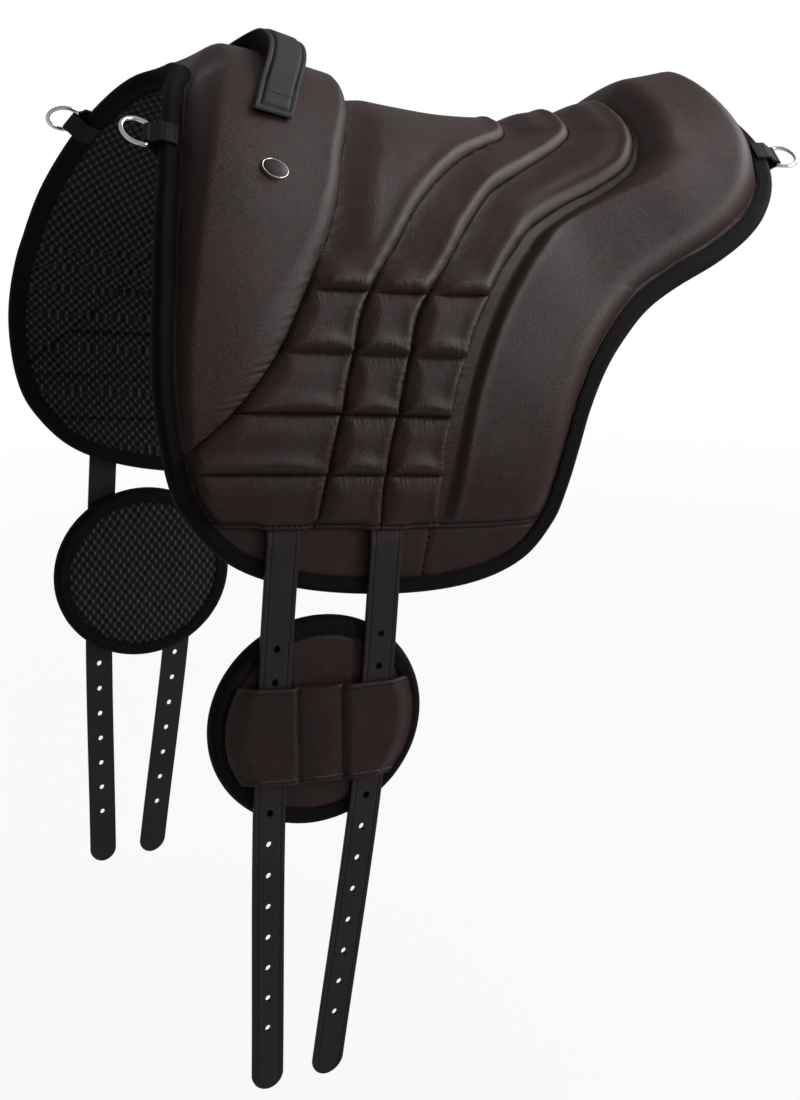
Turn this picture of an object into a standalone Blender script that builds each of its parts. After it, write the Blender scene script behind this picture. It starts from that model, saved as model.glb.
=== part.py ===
"""Bareback pad for a horse, modelled in metres.

The frame: origin at the underside of the seat's lowest point on the spine, +X towards the
horse's tail, +Y towards its off (right) side, +Z up.  The near (left) side faces -Y.

Everything soft is laid out on one surface, the underside that bears on the horse's back.
A place on it is (x, level): x runs along the spine, and the level counts the girth lines down
from the ridge, negative on the near side.  Levels 4 to 8 are the rows of quilting, one
QUILT_ROW apart.  A third number, the height, is measured outwards from that surface.
"""

import functools
import math

import bmesh
import bpy
from mathutils import Vector

# The horse's back under the pad
BACK_HALF_WIDTH = 0.204
BACK_REACH = 0.290
RIDGE_LINE = ((-0.330, 0.088), (-0.246, 0.066), (-0.190, 0.047), (-0.110, 0.022),
              (0.020, 0.0), (0.140, 0.011), (0.260, 0.028))
WITHERS_FULLNESS = 2.0
LOIN_FULLNESS = 3.0
WITHERS_X = -0.240
LOIN_X = 0.020
RIDGE_ROUNDNESS = 0.7

# The quilting rows
QUILT_ROW = 0.040
FIRST_ROW_LEVEL = 4
FIRST_ROW_Z = -0.090
LAST_ROW_LEVEL = 8
ROW_SLOPE = -0.12
ROW_DATUM_X = -0.165
ROW_SLOPE_END_X = -0.070
ROW_SLOPE_BEND = 0.040
CUSHION_LEVEL = 0.5

# The outline and the seams, each as (level, x), alike on both sides
OUTLINE = ((0.0, -0.248), (0.35, -0.251), (0.8, -0.264), (1.6, -0.280), (2.5, -0.297), (3.5, -0.314),
           (4.6, -0.326), (5.9, -0.331), (7.2, -0.325), (8.0, -0.310), (8.75, -0.277),
           (9.15, -0.225), (9.27, -0.155), (9.12, -0.092), (8.72, -0.046), (8.05, -0.019),
           (7.4, -0.006), (6.7, 0.005), (6.0, 0.017), (5.35, 0.034), (4.8, 0.056),
           (4.3, 0.083), (3.9, 0.117), (3.5, 0.160), (3.1, 0.195), (2.7, 0.219),
           (2.2, 0.238), (1.6, 0.249), (0.8, 0.252), (0.0, 0.252))
POMMEL_SEAM = ((0.0, -0.117), (1.0, -0.129), (2.05, -0.153), (2.6, -0.164), (3.2, -0.180),
               (4.0, -0.208), (5.1, -0.242), (6.05, -0.280), (6.6, -0.308), (7.05, -0.330))
FRONT_SEAM = ((0.0, 0.037), (0.3, 0.036), (0.6, 0.027), (0.9, 0.000), (1.25, -0.028),
              (1.6, -0.050), (2.4, -0.092), (3.2, -0.124), (4.1, -0.162), (5.05, -0.182),
              (6.0, -0.197), (7.0, -0.211), (8.0, -0.221))
MIDDLE_SEAM = ((0.0, 0.096), (0.45, 0.093), (0.8, 0.084), (1.1, 0.062), (1.45, 0.028),
               (1.9, -0.012), (2.7, -0.055), (3.45, -0.086), (4.2, -0.119), (5.05, -0.137),
               (6.0, -0.152), (7.0, -0.165), (8.0, -0.170))
CANTLE_SEAM = ((0.0, 0.146), (0.45, 0.144), (0.9, 0.139), (1.35, 0.128), (1.75, 0.108),
               (2.05, 0.076), (2.35, 0.038), (2.7, 0.004), (3.2, -0.025), (4.2, -0.067),
               (5.1, -0.092), (6.0, -0.108), (7.0, -0.118), (8.0, -0.125))

# The layers, from the horse outwards
LAYER_GAP = 0.0003
SEAM_GAP = 0.0006
CARRIER_CLEARANCE = 0.0010
LINING_THICKNESS = 0.003
BASE_FOAM_THICKNESS = 0.0035
CARRIER_THICKNESS = 0.0014
COVER_THICKNESS = 0.0022
LAYER_INSET = 0.003
FOAM_INSET = 0.038
FOAM_SLACK = 0.0012
FOAM_END_LEVEL = 7.4
POMMEL_TIP_LEVEL = 7.0
HEM_SEAM_LEVEL = 0.03
WHOLE_COLUMNS = 7
SPINE_STRIP_LEVEL = 0.5
SPINE_STRIP_RECESS = 0.001

# How thick the padding is, as (level, height of the cover)
POMMEL_HEIGHT = ((0.0, 0.0430), (1.0, 0.0405), (2.0, 0.0355), (3.0, 0.0300), (4.0, 0.0240),
                 (5.0, 0.0205), (6.0, 0.0180), (7.0, 0.0140))
SEAT_HEIGHT = ((0.0, 0.0300), (1.0, 0.0282), (2.0, 0.0245), (3.0, 0.0212), (4.0, 0.0198),
               (5.0, 0.0194), (8.0, 0.0190))
CANTLE_HEIGHT = ((0.0, 0.0435), (1.0, 0.0400), (2.0, 0.0320), (3.0, 0.0245), (4.0, 0.0205),
                 (5.0, 0.0195), (8.0, 0.0190))
POMMEL_ROLL = 0.034
BORDER_FULLNESS = 2.5
CANTLE_ROLL = 0.026
POMMEL_STEP_WIDTH = ((0.0, 0.011), (2.5, 0.014), (3.5, 0.017), (4.5, 0.026), (6.0, 0.022), (7.0, 0.012))
SEAM_DEPTH = 0.0045
SEAM_ROLL = 0.011
SEAM_TUCK = 0.030
ROW_DEPTH = 0.0030
CANTLE_GROOVE = ((0.0, 0.034), (1.0, 0.036), (2.0, 0.026), (2.5, 0.016), (4.0, 0.018), (7.0, 0.018),
                 (8.0, 0.012))
HEM_COVER_HEIGHT = 0.0120

# The tape that binds the edge
BINDING_THICKNESS = 0.0014
BINDING_LEG = 0.014
BINDING_CLEARANCE = 0.0012
BINDING_MARGIN = 0.0055

# The grab handle across the pommel
HANDLE_X = -0.172
HANDLE_LEAN = -0.029
HANDLE_BEND = 0.5
HANDLE_STEPS = 18
HANDLE_HALF_LEVEL = 1.72
HANDLE_SEWN_LEVEL = 1.12
HANDLE_WIDTH = 0.032
HANDLE_THICKNESS = 0.0045
HANDLE_FINGER_GAP = 0.0125
HANDLE_SEAT_GAP = 0.0012

# The D-rings and their tabs
RING_WIRE = 0.0032
RING_INNER_WIDTH = 0.0220
RING_INNER_DEPTH = 0.0170
RING_FRONT_LEVEL = 1.95
RING_REAR_LEVEL = 1.60
TAB_WEBBING = 0.0015
TAB_WIDTH = 0.0195
TAB_LENGTH = 0.0085
RING_PLAY = 0.0004
TAB_SLIT = 0.0004
RING_SIDES = 6
RING_BENDS = 9

# The girth straps, which riders call billets
STRAP_WIDTH = 0.0254
STRAP_THICKNESS = 0.0035
STRAP_HOLE_PITCH = 0.0254
STRAP_HOLE_WIDTH = 0.0050
STRAP_HOLE_COUNT = 13
STRAP_TAIL = 0.052
STRAP_CLEARANCE = 0.0004
STRAP_HOLE_SIDES = 6
STRAP_END_BENDS = 6
FRONT_STRAP_X = (-0.244, -0.256, -0.266)
REAR_STRAP_X = (-0.163, -0.174, -0.217)
STRAP_BOTTOM_Z = -0.684
CARRIER_WIDTH = 0.038
FRONT_CARRIER_X = -0.205
REAR_CARRIER_X = -0.150

# The guards that lie between the girth's buckles and the horse
GUARD_X = -0.217
GUARD_Z = -0.3915
GUARD_HALF_LENGTH = 0.085
GUARD_HALF_HEIGHT = 0.0815
GUARD_FACE_THICKNESS = 0.0020
GUARD_FOAM_THICKNESS = 0.0070
GUARD_LINING_THICKNESS = 0.0025
GUARD_BINDING_LEG = 0.013
GUARD_SIDES = 20
SLEEVE_HALF_LENGTH = 0.0675
SLEEVE_HALF_HEIGHT = 0.038
SLEEVE_DROP = 0.0065
SLEEVE_THICKNESS = 0.0018
SLEEVE_STITCH_GAP = 0.035
SLEEVE_RAMP = 0.002

# The rows at which the solids are cut, as levels
SECTION_LEVELS = (0.0, 0.25, SPINE_STRIP_LEVEL, 0.8, 1.15, 1.55, 2.0, 2.4, 2.85, 3.4, 4.0, 4.5, 5.0,
                  6.0, 7.0, 8.0)
CREST_LEVELS = (5.5, 6.5, 7.5)
HEM_LEVELS = (8.45, 8.8, 9.02)
LEVEL_STEP = 0.05
X_STEP = 0.001
CHART_STEPS = 12
NEAR = -1
OFF = 1

# The heights of the layers' faces above the bearing surface
BASE_FOAM_BOTTOM = LINING_THICKNESS + LAYER_GAP
BASE_FOAM_TOP = BASE_FOAM_BOTTOM + BASE_FOAM_THICKNESS
CARRIER_BOTTOM = BASE_FOAM_TOP + CARRIER_CLEARANCE
CARRIER_TOP = CARRIER_BOTTOM + CARRIER_THICKNESS
TOP_FOAM_BOTTOM = CARRIER_TOP + CARRIER_CLEARANCE / 2
EDGE_HEIGHT = CARRIER_BOTTOM + COVER_THICKNESS
BINDING_TOP = EDGE_HEIGHT + BINDING_CLEARANCE + BINDING_THICKNESS
BINDING_BOTTOM = -BINDING_CLEARANCE - BINDING_THICKNESS
STRAP_INNER_Y = BACK_HALF_WIDTH + max(BINDING_TOP, HEM_COVER_HEIGHT) + STRAP_CLEARANCE
STRAP_OUTER_Y = STRAP_INNER_Y + STRAP_THICKNESS
STRAP_TOP_LEVEL = LAST_ROW_LEVEL - HEM_SEAM_LEVEL + (STRAP_THICKNESS + STRAP_CLEARANCE) / QUILT_ROW


def clamp(value, low=0.0, high=1.0):
    return max(low, min(high, value))


def ease(value):
    """A smooth step from 0 to 1."""
    value = clamp(value)
    return value * value * (3.0 - 2.0 * value)


def curve_at(points, at):
    """A smooth curve through (at, value) points, which doesn't overshoot sideways."""
    last = len(points) - 1
    k = 0
    while k < last - 1 and at > points[k + 1][0]:
        k += 1

    def secant(i):
        return (points[i + 1][1] - points[i][1]) / (points[i + 1][0] - points[i][0])

    def slope(i):
        if i == 0:
            return secant(0)
        if i == last:
            return secant(last - 1)
        before = points[i][0] - points[i - 1][0]
        after = points[i + 1][0] - points[i][0]
        return (secant(i - 1) * after + secant(i) * before) / (before + after)

    span = points[k + 1][0] - points[k][0]
    u = (at - points[k][0]) / span
    if u < 0.0:
        return points[k][1] + slope(k) * span * u
    if u > 1.0:
        return points[k + 1][1] + slope(k + 1) * span * (u - 1.0)
    start = (2 * u ** 3 - 3 * u ** 2 + 1) * points[k][1]
    end = (3 * u ** 2 - 2 * u ** 3) * points[k + 1][1]
    leave = (u ** 3 - 2 * u ** 2 + u) * span * slope(k)
    arrive = (u ** 3 - u ** 2) * span * slope(k + 1)
    return start + end + leave + arrive


def seam_at(points, level):
    """x of a seam at a level, level with the ridge where the two sides meet."""
    mirrored = [(-points[1][0], points[1][1])] + list(points)
    return curve_at(mirrored, abs(level))


def back_point(x, level):
    """A place on the horse's back."""
    down = abs(level)
    ridge = curve_at(RIDGE_LINE, x)
    bend = math.hypot(x - ROW_SLOPE_END_X, ROW_SLOPE_BEND)
    sloped_x = (x + ROW_SLOPE_END_X - bend) / 2
    first_row = FIRST_ROW_Z + ROW_SLOPE * (sloped_x - ROW_DATUM_X)
    share = min(down / FIRST_ROW_LEVEL, 1.0) ** (1.0 / RIDGE_ROUNDNESS)
    z = ridge - (ridge - first_row) * share - QUILT_ROW * max(down - FIRST_ROW_LEVEL, 0.0)
    fullness = WITHERS_FULLNESS
    fullness += (LOIN_FULLNESS - WITHERS_FULLNESS) * ease((x - WITHERS_X) / (LOIN_X - WITHERS_X))
    drop = min(1.0, (ridge - z) / BACK_REACH)
    half_width = BACK_HALF_WIDTH * (1.0 - (1.0 - drop) ** fullness) ** RIDGE_ROUNDNESS
    return Vector((x, math.copysign(half_width, level), z))


def back_frame(x, level):
    """The outward normal there, and how long one level is."""
    along = back_point(x + X_STEP, level) - back_point(x - X_STEP, level)
    down = back_point(x, level + LEVEL_STEP / 2) - back_point(x, level - LEVEL_STEP / 2)
    return along.cross(down).normalized(), down.length / LEVEL_STEP


def pad_point(x, level, height):
    return back_point(x, level) + back_frame(x, level)[0] * height


@functools.cache
def outline_chart():
    """The near half of the outline, front to rear, as close points (x, level) with level positive."""
    points = [(-level, x) for level, x in OUTLINE[1:2]] + list(OUTLINE)
    points += [(-level, x) for level, x in OUTLINE[-2:-1]]
    chart = []
    for k in range(1, len(points) - 2):
        p0, p1, p2, p3 = (Vector((x, level * QUILT_ROW)) for level, x in points[k - 1:k + 3])
        for step in range(CHART_STEPS):
            u = step / CHART_STEPS
            at = 0.5 * ((2 * p1) + (p2 - p0) * u + (2 * p0 - 5 * p1 + 4 * p2 - p3) * u * u
                        + (3 * p1 - p0 - 3 * p2 + p3) * u ** 3)
            chart.append((at.x, at.y / QUILT_ROW))
    chart.append((OUTLINE[-1][1], OUTLINE[-1][0]))
    return chart


@functools.cache
def inset_chart(inset):
    """The outline drawn in by a distance along the surface."""
    chart = outline_chart()
    moved = []
    for k, (x, level) in enumerate(chart):
        before = chart[k - 1] if k > 0 else (chart[1][0], -chart[1][1])
        after = chart[k + 1] if k + 1 < len(chart) else (chart[-2][0], -chart[-2][1])
        size = back_frame(x, max(level, LEVEL_STEP))[1]
        tangent = Vector((after[0] - before[0], (after[1] - before[1]) * size)).normalized()
        moved.append((x + tangent.y * inset, level - tangent.x * inset / size))
    return moved


def edge_x(level, inset, rear):
    """x of the drawn-in outline's front or rear half at a level."""
    chart = inset_chart(inset)
    low = max(range(len(chart)), key=lambda k: chart[k][1])
    half = chart[:low - 1:-1] if rear else chart[:low + 1]
    down = abs(level)
    for (x0, level0), (x1, level1) in zip(half, half[1:]):
        if level0 <= down <= level1 and level1 > level0:
            return x0 + (x1 - x0) * (down - level0) / (level1 - level0)
    return half[0][0] if down < half[0][1] else half[-1][0]


def seam_distance(points, x, level):
    """How far behind a seam a place is, measured square to the seam."""
    down = abs(level)
    run = seam_at(points, down + LEVEL_STEP) - seam_at(points, down - LEVEL_STEP)
    size = back_frame(x, down + LEVEL_STEP)[1]
    return (x - seam_at(points, level)) / math.hypot(1.0, run / (2 * LEVEL_STEP * size))


def edge_distance(x, level):
    """How far inside the outline a place is, measured along the surface."""
    down = max(abs(level), LEVEL_STEP)
    size = back_frame(x, down)[1]
    here = Vector((x, down * size))
    chart = [Vector((at_x, at_level * size)) for at_x, at_level in outline_chart()]
    nearest = BACK_REACH
    for start, end in zip(chart, chart[1:]):
        along = end - start
        share = clamp((here - start).dot(along) / along.length_squared)
        nearest = min(nearest, (start + along * share - here).length)
    return nearest


def roll(distance, width):
    """A quarter-round edge: 0 at the edge and 1 from the given width on."""
    return math.sqrt(1.0 - (1.0 - clamp(distance / width)) ** 2)


def row_groove(level):
    """0 between the sewn rows of quilting and 1 on them."""
    down = abs(level)
    if down < FIRST_ROW_LEVEL - CUSHION_LEVEL or down > LAST_ROW_LEVEL - CUSHION_LEVEL:
        return 0.0
    away = abs(down - round(down)) / CUSHION_LEVEL
    return 1.0 - roll(away, 1.0)


def from_border(distance, width, height):
    """The height that rises from the bound edge to the padding."""
    share = 1.0 - (1.0 - clamp((distance - BINDING_LEG - BINDING_MARGIN) / width)) ** BORDER_FULLNESS
    return EDGE_HEIGHT + (height - EDGE_HEIGHT) * share


def pommel_height(x, level):
    down = abs(level)
    full = curve_at(POMMEL_HEIGHT, down)
    valley = curve_at(SEAT_HEIGHT, down) - SEAM_DEPTH
    step = roll(-seam_distance(POMMEL_SEAM, x, level), curve_at(POMMEL_STEP_WIDTH, down))
    height = valley + (full - valley) * step
    return from_border(edge_distance(x, level), POMMEL_ROLL * full / POMMEL_HEIGHT[0][1], height)


def seat_height(x, level, front_seam, rear_seam):
    """A seat strip: tucked low behind the seam in front, full at its rear edge, with sewn rows."""
    down = abs(level)
    full = curve_at(SEAT_HEIGHT, down)
    tucked = SEAM_DEPTH * (1.0 - ease(seam_distance(front_seam, x, level) / SEAM_TUCK))
    rolled = SEAM_DEPTH * (1.0 - roll(-seam_distance(rear_seam, x, level), SEAM_ROLL))
    height = full - max(tucked, rolled, ROW_DEPTH * row_groove(level))
    hem = ease((down - LAST_ROW_LEVEL + CUSHION_LEVEL) / CUSHION_LEVEL)
    height += (HEM_COVER_HEIGHT - height) * hem
    return from_border(edge_distance(x, level), SEAM_ROLL, height)


def cantle_height(x, level):
    down = abs(level)
    full = curve_at(CANTLE_HEIGHT, down)
    valley = curve_at(SEAT_HEIGHT, down) - SEAM_DEPTH
    groove = ease(seam_distance(CANTLE_SEAM, x, level) / curve_at(CANTLE_GROOVE, down))
    height = valley + (full - valley) * groove
    hem = ease((down - LAST_ROW_LEVEL + CUSHION_LEVEL) / CUSHION_LEVEL)
    height += (HEM_COVER_HEIGHT - height) * hem
    return from_border(edge_distance(x, level), CANTLE_ROLL, height)


def start_scene():
    for old in list(bpy.data.objects):
        bpy.data.objects.remove(old, do_unlink=True)


MATERIALS = {
    "leather": ((0.030, 0.017, 0.016, 1.0), 0.0, 0.45),
    "strap_leather": ((0.024, 0.021, 0.020, 1.0), 0.0, 0.5),
    "handle_leather": ((0.028, 0.031, 0.030, 1.0), 0.0, 0.5),
    "binding": ((0.008, 0.007, 0.007, 1.0), 0.0, 0.85),
    "mesh": ((0.007, 0.006, 0.006, 1.0), 0.0, 0.8),
    "foam": ((0.10, 0.10, 0.11, 1.0), 0.0, 0.9),
    "webbing": ((0.010, 0.010, 0.010, 1.0), 0.0, 0.8),
    "steel": ((0.72, 0.70, 0.66, 1.0), 1.0, 0.15),
}


def finish(name, mesh, kind, smooth_angle=35.0):
    """Makes the object of a finished mesh, with its own material."""
    colour, metallic, roughness = MATERIALS[kind]
    material = bpy.data.materials.new(name + "_" + kind)
    material.use_nodes = True
    shader = material.node_tree.nodes["Principled BSDF"]
    shader.inputs["Base Color"].default_value = colour
    shader.inputs["Metallic"].default_value = metallic
    shader.inputs["Roughness"].default_value = roughness
    mesh.materials.append(material)
    mesh.shade_smooth()
    mesh.set_sharp_from_angle(angle=math.radians(smooth_angle))
    piece = bpy.data.objects.new(name, mesh)
    bpy.context.scene.collection.objects.link(piece)
    return piece


def mesh_of(name, points, faces):
    mesh = bpy.data.meshes.new(name)
    mesh.from_pydata([tuple(p) for p in points], [], faces)
    mesh.update()
    return mesh


def slab(name, levels, columns, top, bottom, kind):
    """A closed layer: rows run across the pad, and columns(level) gives the places along a row."""
    over = []
    under = []
    for level in levels:
        for x in columns(level):
            normal = back_frame(x, level)[0]
            foot = back_point(x, level)
            over.append(foot + normal * top(x, level))
            under.append(foot + normal * bottom(x, level))
    wide = len(over) // len(levels)
    count = len(over)
    faces = []
    for i in range(len(levels) - 1):
        for j in range(wide - 1):
            a = i * wide + j
            b = a + 1
            c = a + wide + 1
            d = a + wide
            faces += [(a, b, c), (a, c, d)]
            faces += [(count + c, count + b, count + a), (count + d, count + c, count + a)]
    rim = list(range(wide))
    rim += [i * wide + wide - 1 for i in range(1, len(levels))]
    rim += [(len(levels) - 1) * wide + j for j in range(wide - 2, -1, -1)]
    rim += [i * wide for i in range(len(levels) - 2, 0, -1)]
    for a, b in zip(rim, rim[1:] + rim[:1]):
        faces.append((b, a, count + a, count + b))
    return finish(name, mesh_of(name, over + under, faces), kind)


def both_sides(levels):
    """The levels of the near side, the ridge and the off side, in order."""
    down = sorted(set(abs(level) for level in levels))
    return [-level for level in reversed(down) if level > 0.0] + down


def one_side(levels, side):
    return sorted(side * level for level in levels)


def cut_levels(last, *more):
    """The section levels that lie before the last one, with it and any more."""
    return [level for level in SECTION_LEVELS + more if level < last - LEVEL_STEP] + [last]


def slant(edge, level):
    """How much further along x it is than square to an edge that runs aslant."""
    down = max(abs(level), LEVEL_STEP)
    run = (edge(down + LEVEL_STEP) - edge(down - LEVEL_STEP)) / (2 * LEVEL_STEP)
    return math.hypot(1.0, run / back_frame(edge(down), down)[1])


def drawn_together(low, high, behind, middles, ahead):
    """Places at distances behind a low one and ahead of a high one, scaled down where there is no room."""
    squeeze = min(1.0, 0.9 * (high - low) / (behind[-1] + ahead[0]))
    places = [low + distance * squeeze for distance in behind]
    room = high - ahead[0] * squeeze - places[-1]
    places += [places[-1] + room * (k + 1) / (middles + 1) for k in range(middles)]
    return places + [high - distance * squeeze for distance in ahead]


def shared(start, end, shares):
    """Columns at shares of the way from one curve to another."""
    def columns(level):
        return [start(level) + (end(level) - start(level)) * share for share in shares]
    return columns


def pommel_seam(level):
    """The pommel seam, which runs out into the front edge."""
    return max(seam_at(POMMEL_SEAM, level), edge_x(level, LAYER_INSET, False) + 4 * SEAM_GAP)


def cantle_seam(level):
    return seam_at(CANTLE_SEAM, level)


def taped(level, rear):
    """Where the cover begins to rise, just past the end of the tape's leg."""
    return edge_x(level, BINDING_LEG + BINDING_MARGIN, rear)


def pommel_columns(foam):
    """The pommel's columns; the foam has the same ones, short of the bound edge and the seam."""
    def columns(level):
        full = POMMEL_ROLL * curve_at(POMMEL_HEIGHT, abs(level)) / POMMEL_HEIGHT[0][1]
        step = curve_at(POMMEL_STEP_WIDTH, abs(level)) * slant(pommel_seam, level)
        low = min(taped(level, False), pommel_seam(level) - 3 * SEAM_GAP)
        places = drawn_together(low, pommel_seam(level), [full * 0.25, full], 0, [step, step * 0.35])
        if foam:
            return places
        return [edge_x(level, LAYER_INSET, False), low] + places + [pommel_seam(level) - SEAM_GAP / 2]
    return columns


def cantle_columns(foam):
    """The cantle's columns, from the groove behind its seam to the bound edge."""
    def columns(level):
        groove = curve_at(CANTLE_GROOVE, abs(level)) * slant(cantle_seam, level)
        rise = [(CANTLE_ROLL * share) * slant(lambda down: taped(down, True), level) for share in (1.0, 0.25)]
        places = drawn_together(cantle_seam(level), taped(level, True), [groove * 0.4, groove], 1, rise)
        if foam:
            return places
        border = [taped(level, True), edge_x(level, LAYER_INSET, True)]
        return [cantle_seam(level) + SEAM_GAP / 2] + places + border
    return columns


def front_strip_columns(level):
    """The front seat strip's columns, with one at the end of the tape's leg where it reaches the edge."""
    front = pommel_seam(level) + SEAM_GAP / 2
    rear = seam_at(FRONT_SEAM, level) - SEAM_GAP / 2
    second = max(taped(level, False), front + (rear - front) * 0.12)
    return [front] + [second + (rear - second) * share for share in (0.0, 0.35, 0.75, 0.94, 1.0)]


def make_covers():
    """The leather: a pommel panel, three seat strips, a cantle panel and a strip under the straps."""
    def under(height):
        return lambda x, level: height(x, level) - COVER_THICKNESS

    slab("pommel_panel", both_sides(cut_levels(POMMEL_TIP_LEVEL, *CREST_LEVELS)), pommel_columns(False),
         pommel_height, under(pommel_height), "leather")
    rows = both_sides(cut_levels(LAST_ROW_LEVEL - HEM_SEAM_LEVEL, *CREST_LEVELS))
    seams = (POMMEL_SEAM, FRONT_SEAM, MIDDLE_SEAM, CANTLE_SEAM)
    for k, word in enumerate(("front", "middle", "rear")):
        def height(x, level, front=seams[k], rear=seams[k + 1]):
            return seat_height(x, level, front, rear)

        def front_x(level, seam=seams[k]):
            return seam_at(seam, level) + SEAM_GAP / 2

        def rear_x(level, seam=seams[k + 1]):
            return seam_at(seam, level) - SEAM_GAP / 2

        columns = front_strip_columns if k == 0 else shared(front_x, rear_x, (0.0, 0.35, 0.78, 0.94, 1.0))
        slab("seat_panel_" + word, rows, columns, height, under(height), "leather")
    slab("cantle_panel", rows, cantle_columns(False), cantle_height, under(cantle_height), "leather")

    def hem_front(level):
        return edge_x(level, LAYER_INSET, False)

    def hem_rear(level):
        return edge_x(level, LAYER_INSET, True)

    for side, word in ((NEAR, "near"), (OFF, "off")):
        slab("billet_strip_" + word, one_side([LAST_ROW_LEVEL] + list(HEM_LEVELS), side),
             shared(hem_front, hem_rear, (0.0, 0.25, 0.5, 0.75, 1.0)),
             lambda x, level: EDGE_HEIGHT, lambda x, level: CARRIER_BOTTOM, "leather")


def whole_columns(level):
    """Places along a row from the front edge to the rear one, shared by the layers that fill the outline."""
    front = edge_x(level, LAYER_INSET, False)
    rear = edge_x(level, LAYER_INSET, True)
    return [front + (rear - front) * k / WHOLE_COLUMNS for k in range(WHOLE_COLUMNS + 1)]


def make_padding():
    """The foam: one sheet all over, and the shaped pieces that fill pommel, seat and cantle."""
    slab("base_foam", both_sides(SECTION_LEVELS + HEM_LEVELS), whole_columns, lambda x, level: BASE_FOAM_TOP,
         lambda x, level: BASE_FOAM_BOTTOM, "foam")

    def under_cover(height):
        return lambda x, level: height(x, level) - COVER_THICKNESS - LAYER_GAP

    def seat_top(x, level):
        valley = curve_at(SEAT_HEIGHT, abs(level)) - SEAM_DEPTH
        return valley - COVER_THICKNESS - FOAM_SLACK

    def floor(x, level):
        return TOP_FOAM_BOTTOM

    def seat_columns(level):
        front = max(seam_at(POMMEL_SEAM, level) + 2 * SEAM_GAP, edge_x(level, FOAM_INSET, False))
        seam = seam_at(FRONT_SEAM, level)
        third = (seam - front) / 3
        return [front, front + third, seam - third, seam, seam_at(MIDDLE_SEAM, level),
                cantle_seam(level) - 2 * SEAM_GAP]

    slab("pommel_foam", both_sides(cut_levels(5.0)), pommel_columns(True), under_cover(pommel_height),
         floor, "foam")
    slab("seat_foam", both_sides(cut_levels(FOAM_END_LEVEL)), seat_columns, seat_top, floor, "foam")
    slab("cantle_foam", both_sides(cut_levels(FOAM_END_LEVEL)), cantle_columns(True),
         under_cover(cantle_height), floor, "foam")


def make_carriers():
    """Two webbing straps over the base foam, from one side's billets to the other's."""
    rows = both_sides(cut_levels(LAST_ROW_LEVEL - 2 * HEM_SEAM_LEVEL))
    for name, top_x, strap_x in (("billet_carrier_front", FRONT_CARRIER_X, FRONT_STRAP_X[0]),
                                 ("billet_carrier_rear", REAR_CARRIER_X, REAR_STRAP_X[0])):
        def columns(level, top_x=top_x, strap_x=strap_x):
            middle = top_x + (strap_x - top_x) * abs(level) / LAST_ROW_LEVEL
            return [middle - CARRIER_WIDTH / 2, middle + CARRIER_WIDTH / 2]

        slab(name, rows, columns, lambda x, level: CARRIER_TOP, lambda x, level: CARRIER_BOTTOM, "webbing")


def make_lining():
    """The mesh against the horse: one piece each side and a strip along the spine."""
    for side, word in ((NEAR, "near"), (OFF, "off")):
        rows = [level for level in SECTION_LEVELS + HEM_LEVELS if level >= SPINE_STRIP_LEVEL]
        slab("lining_" + word, one_side(rows, side), whole_columns, lambda x, level: LINING_THICKNESS,
             lambda x, level: 0.0, "mesh")
    inner = SPINE_STRIP_LEVEL - HEM_SEAM_LEVEL / 4
    slab("spine_strip", both_sides([0.0, 0.25, inner]), whole_columns, lambda x, level: LINING_THICKNESS,
         lambda x, level: SPINE_STRIP_RECESS, "mesh")


def outline_stations():
    """Places along the near half of the outline, at the levels where the layers are cut."""
    rows = list(SECTION_LEVELS) + list(HEM_LEVELS)
    chart = outline_chart()
    low = max(range(len(chart)), key=lambda k: chart[k][1])
    stations = []

    def crossing(part, down):
        for (x0, level0), (x1, level1) in zip(part, part[1:]):
            if min(level0, level1) <= down <= max(level0, level1) and level0 != level1:
                return (x0 + (x1 - x0) * (down - level0) / (level1 - level0), down)
        return part[0]

    for down in rows:
        stations.append(crossing(chart[:low + 1], down))
    front_x = stations[-1][0]
    rear_x = crossing(chart[low:], rows[-1])[0]
    for k in range(1, 6):
        x = front_x + (rear_x - front_x) * k / 6
        near = min(chart[low - 30:low + 30], key=lambda place: abs(place[0] - x))
        stations.append(near)
    for down in reversed(rows):
        stations.append(crossing(chart[low:], down))
    return stations


def swept_edge(name, loop, profile, kind):
    """A closed band: each station of the loop gives the points of the profile."""
    points = []
    for station in loop:
        points += [station(inward, height) for inward, height in profile]
    wide = len(profile)
    faces = []
    for i in range(len(loop)):
        after = (i + 1) % len(loop)
        for j in range(wide):
            k = (j + 1) % wide
            faces.append((i * wide + j, after * wide + j, after * wide + k, i * wide + k))
    return finish(name, mesh_of(name, points, faces), kind)


def binding_profile(leg, wall, top, bottom):
    """The folded tape's section as (inward, height), round at its outer corners."""
    soft = wall * 1.2
    return ((soft, bottom), (0.0, bottom + soft), (0.0, top - soft), (soft, top), (leg, top - wall / 2),
            (wall, top - wall), (wall, bottom + wall), (leg, bottom + wall / 2))


def edge_station(x, level, before, after):
    """A function that places (inward, height) at one place of the outline."""
    size = back_frame(x, level if abs(level) > LEVEL_STEP else LEVEL_STEP)[1]
    tangent = Vector((after[0] - before[0], (after[1] - before[1]) * size)).normalized()

    def place(inward, height):
        return pad_point(x + tangent.y * inward, level - tangent.x * inward / size, height)
    return place


def make_binding():
    half = outline_stations()
    near = [(x, -level) for x, level in half]
    off = [(x, level) for x, level in reversed(half[1:-1])]
    loop = near + off
    count = len(loop)
    stations = []
    for k, (x, level) in enumerate(loop):
        before = loop[k - 1]
        after = loop[(k + 1) % count]
        stations.append(edge_station(x, level, after, before))
    profile = binding_profile(BINDING_LEG, BINDING_THICKNESS, BINDING_TOP, BINDING_BOTTOM)
    swept_edge("edge_binding", stations, profile, "binding")


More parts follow.
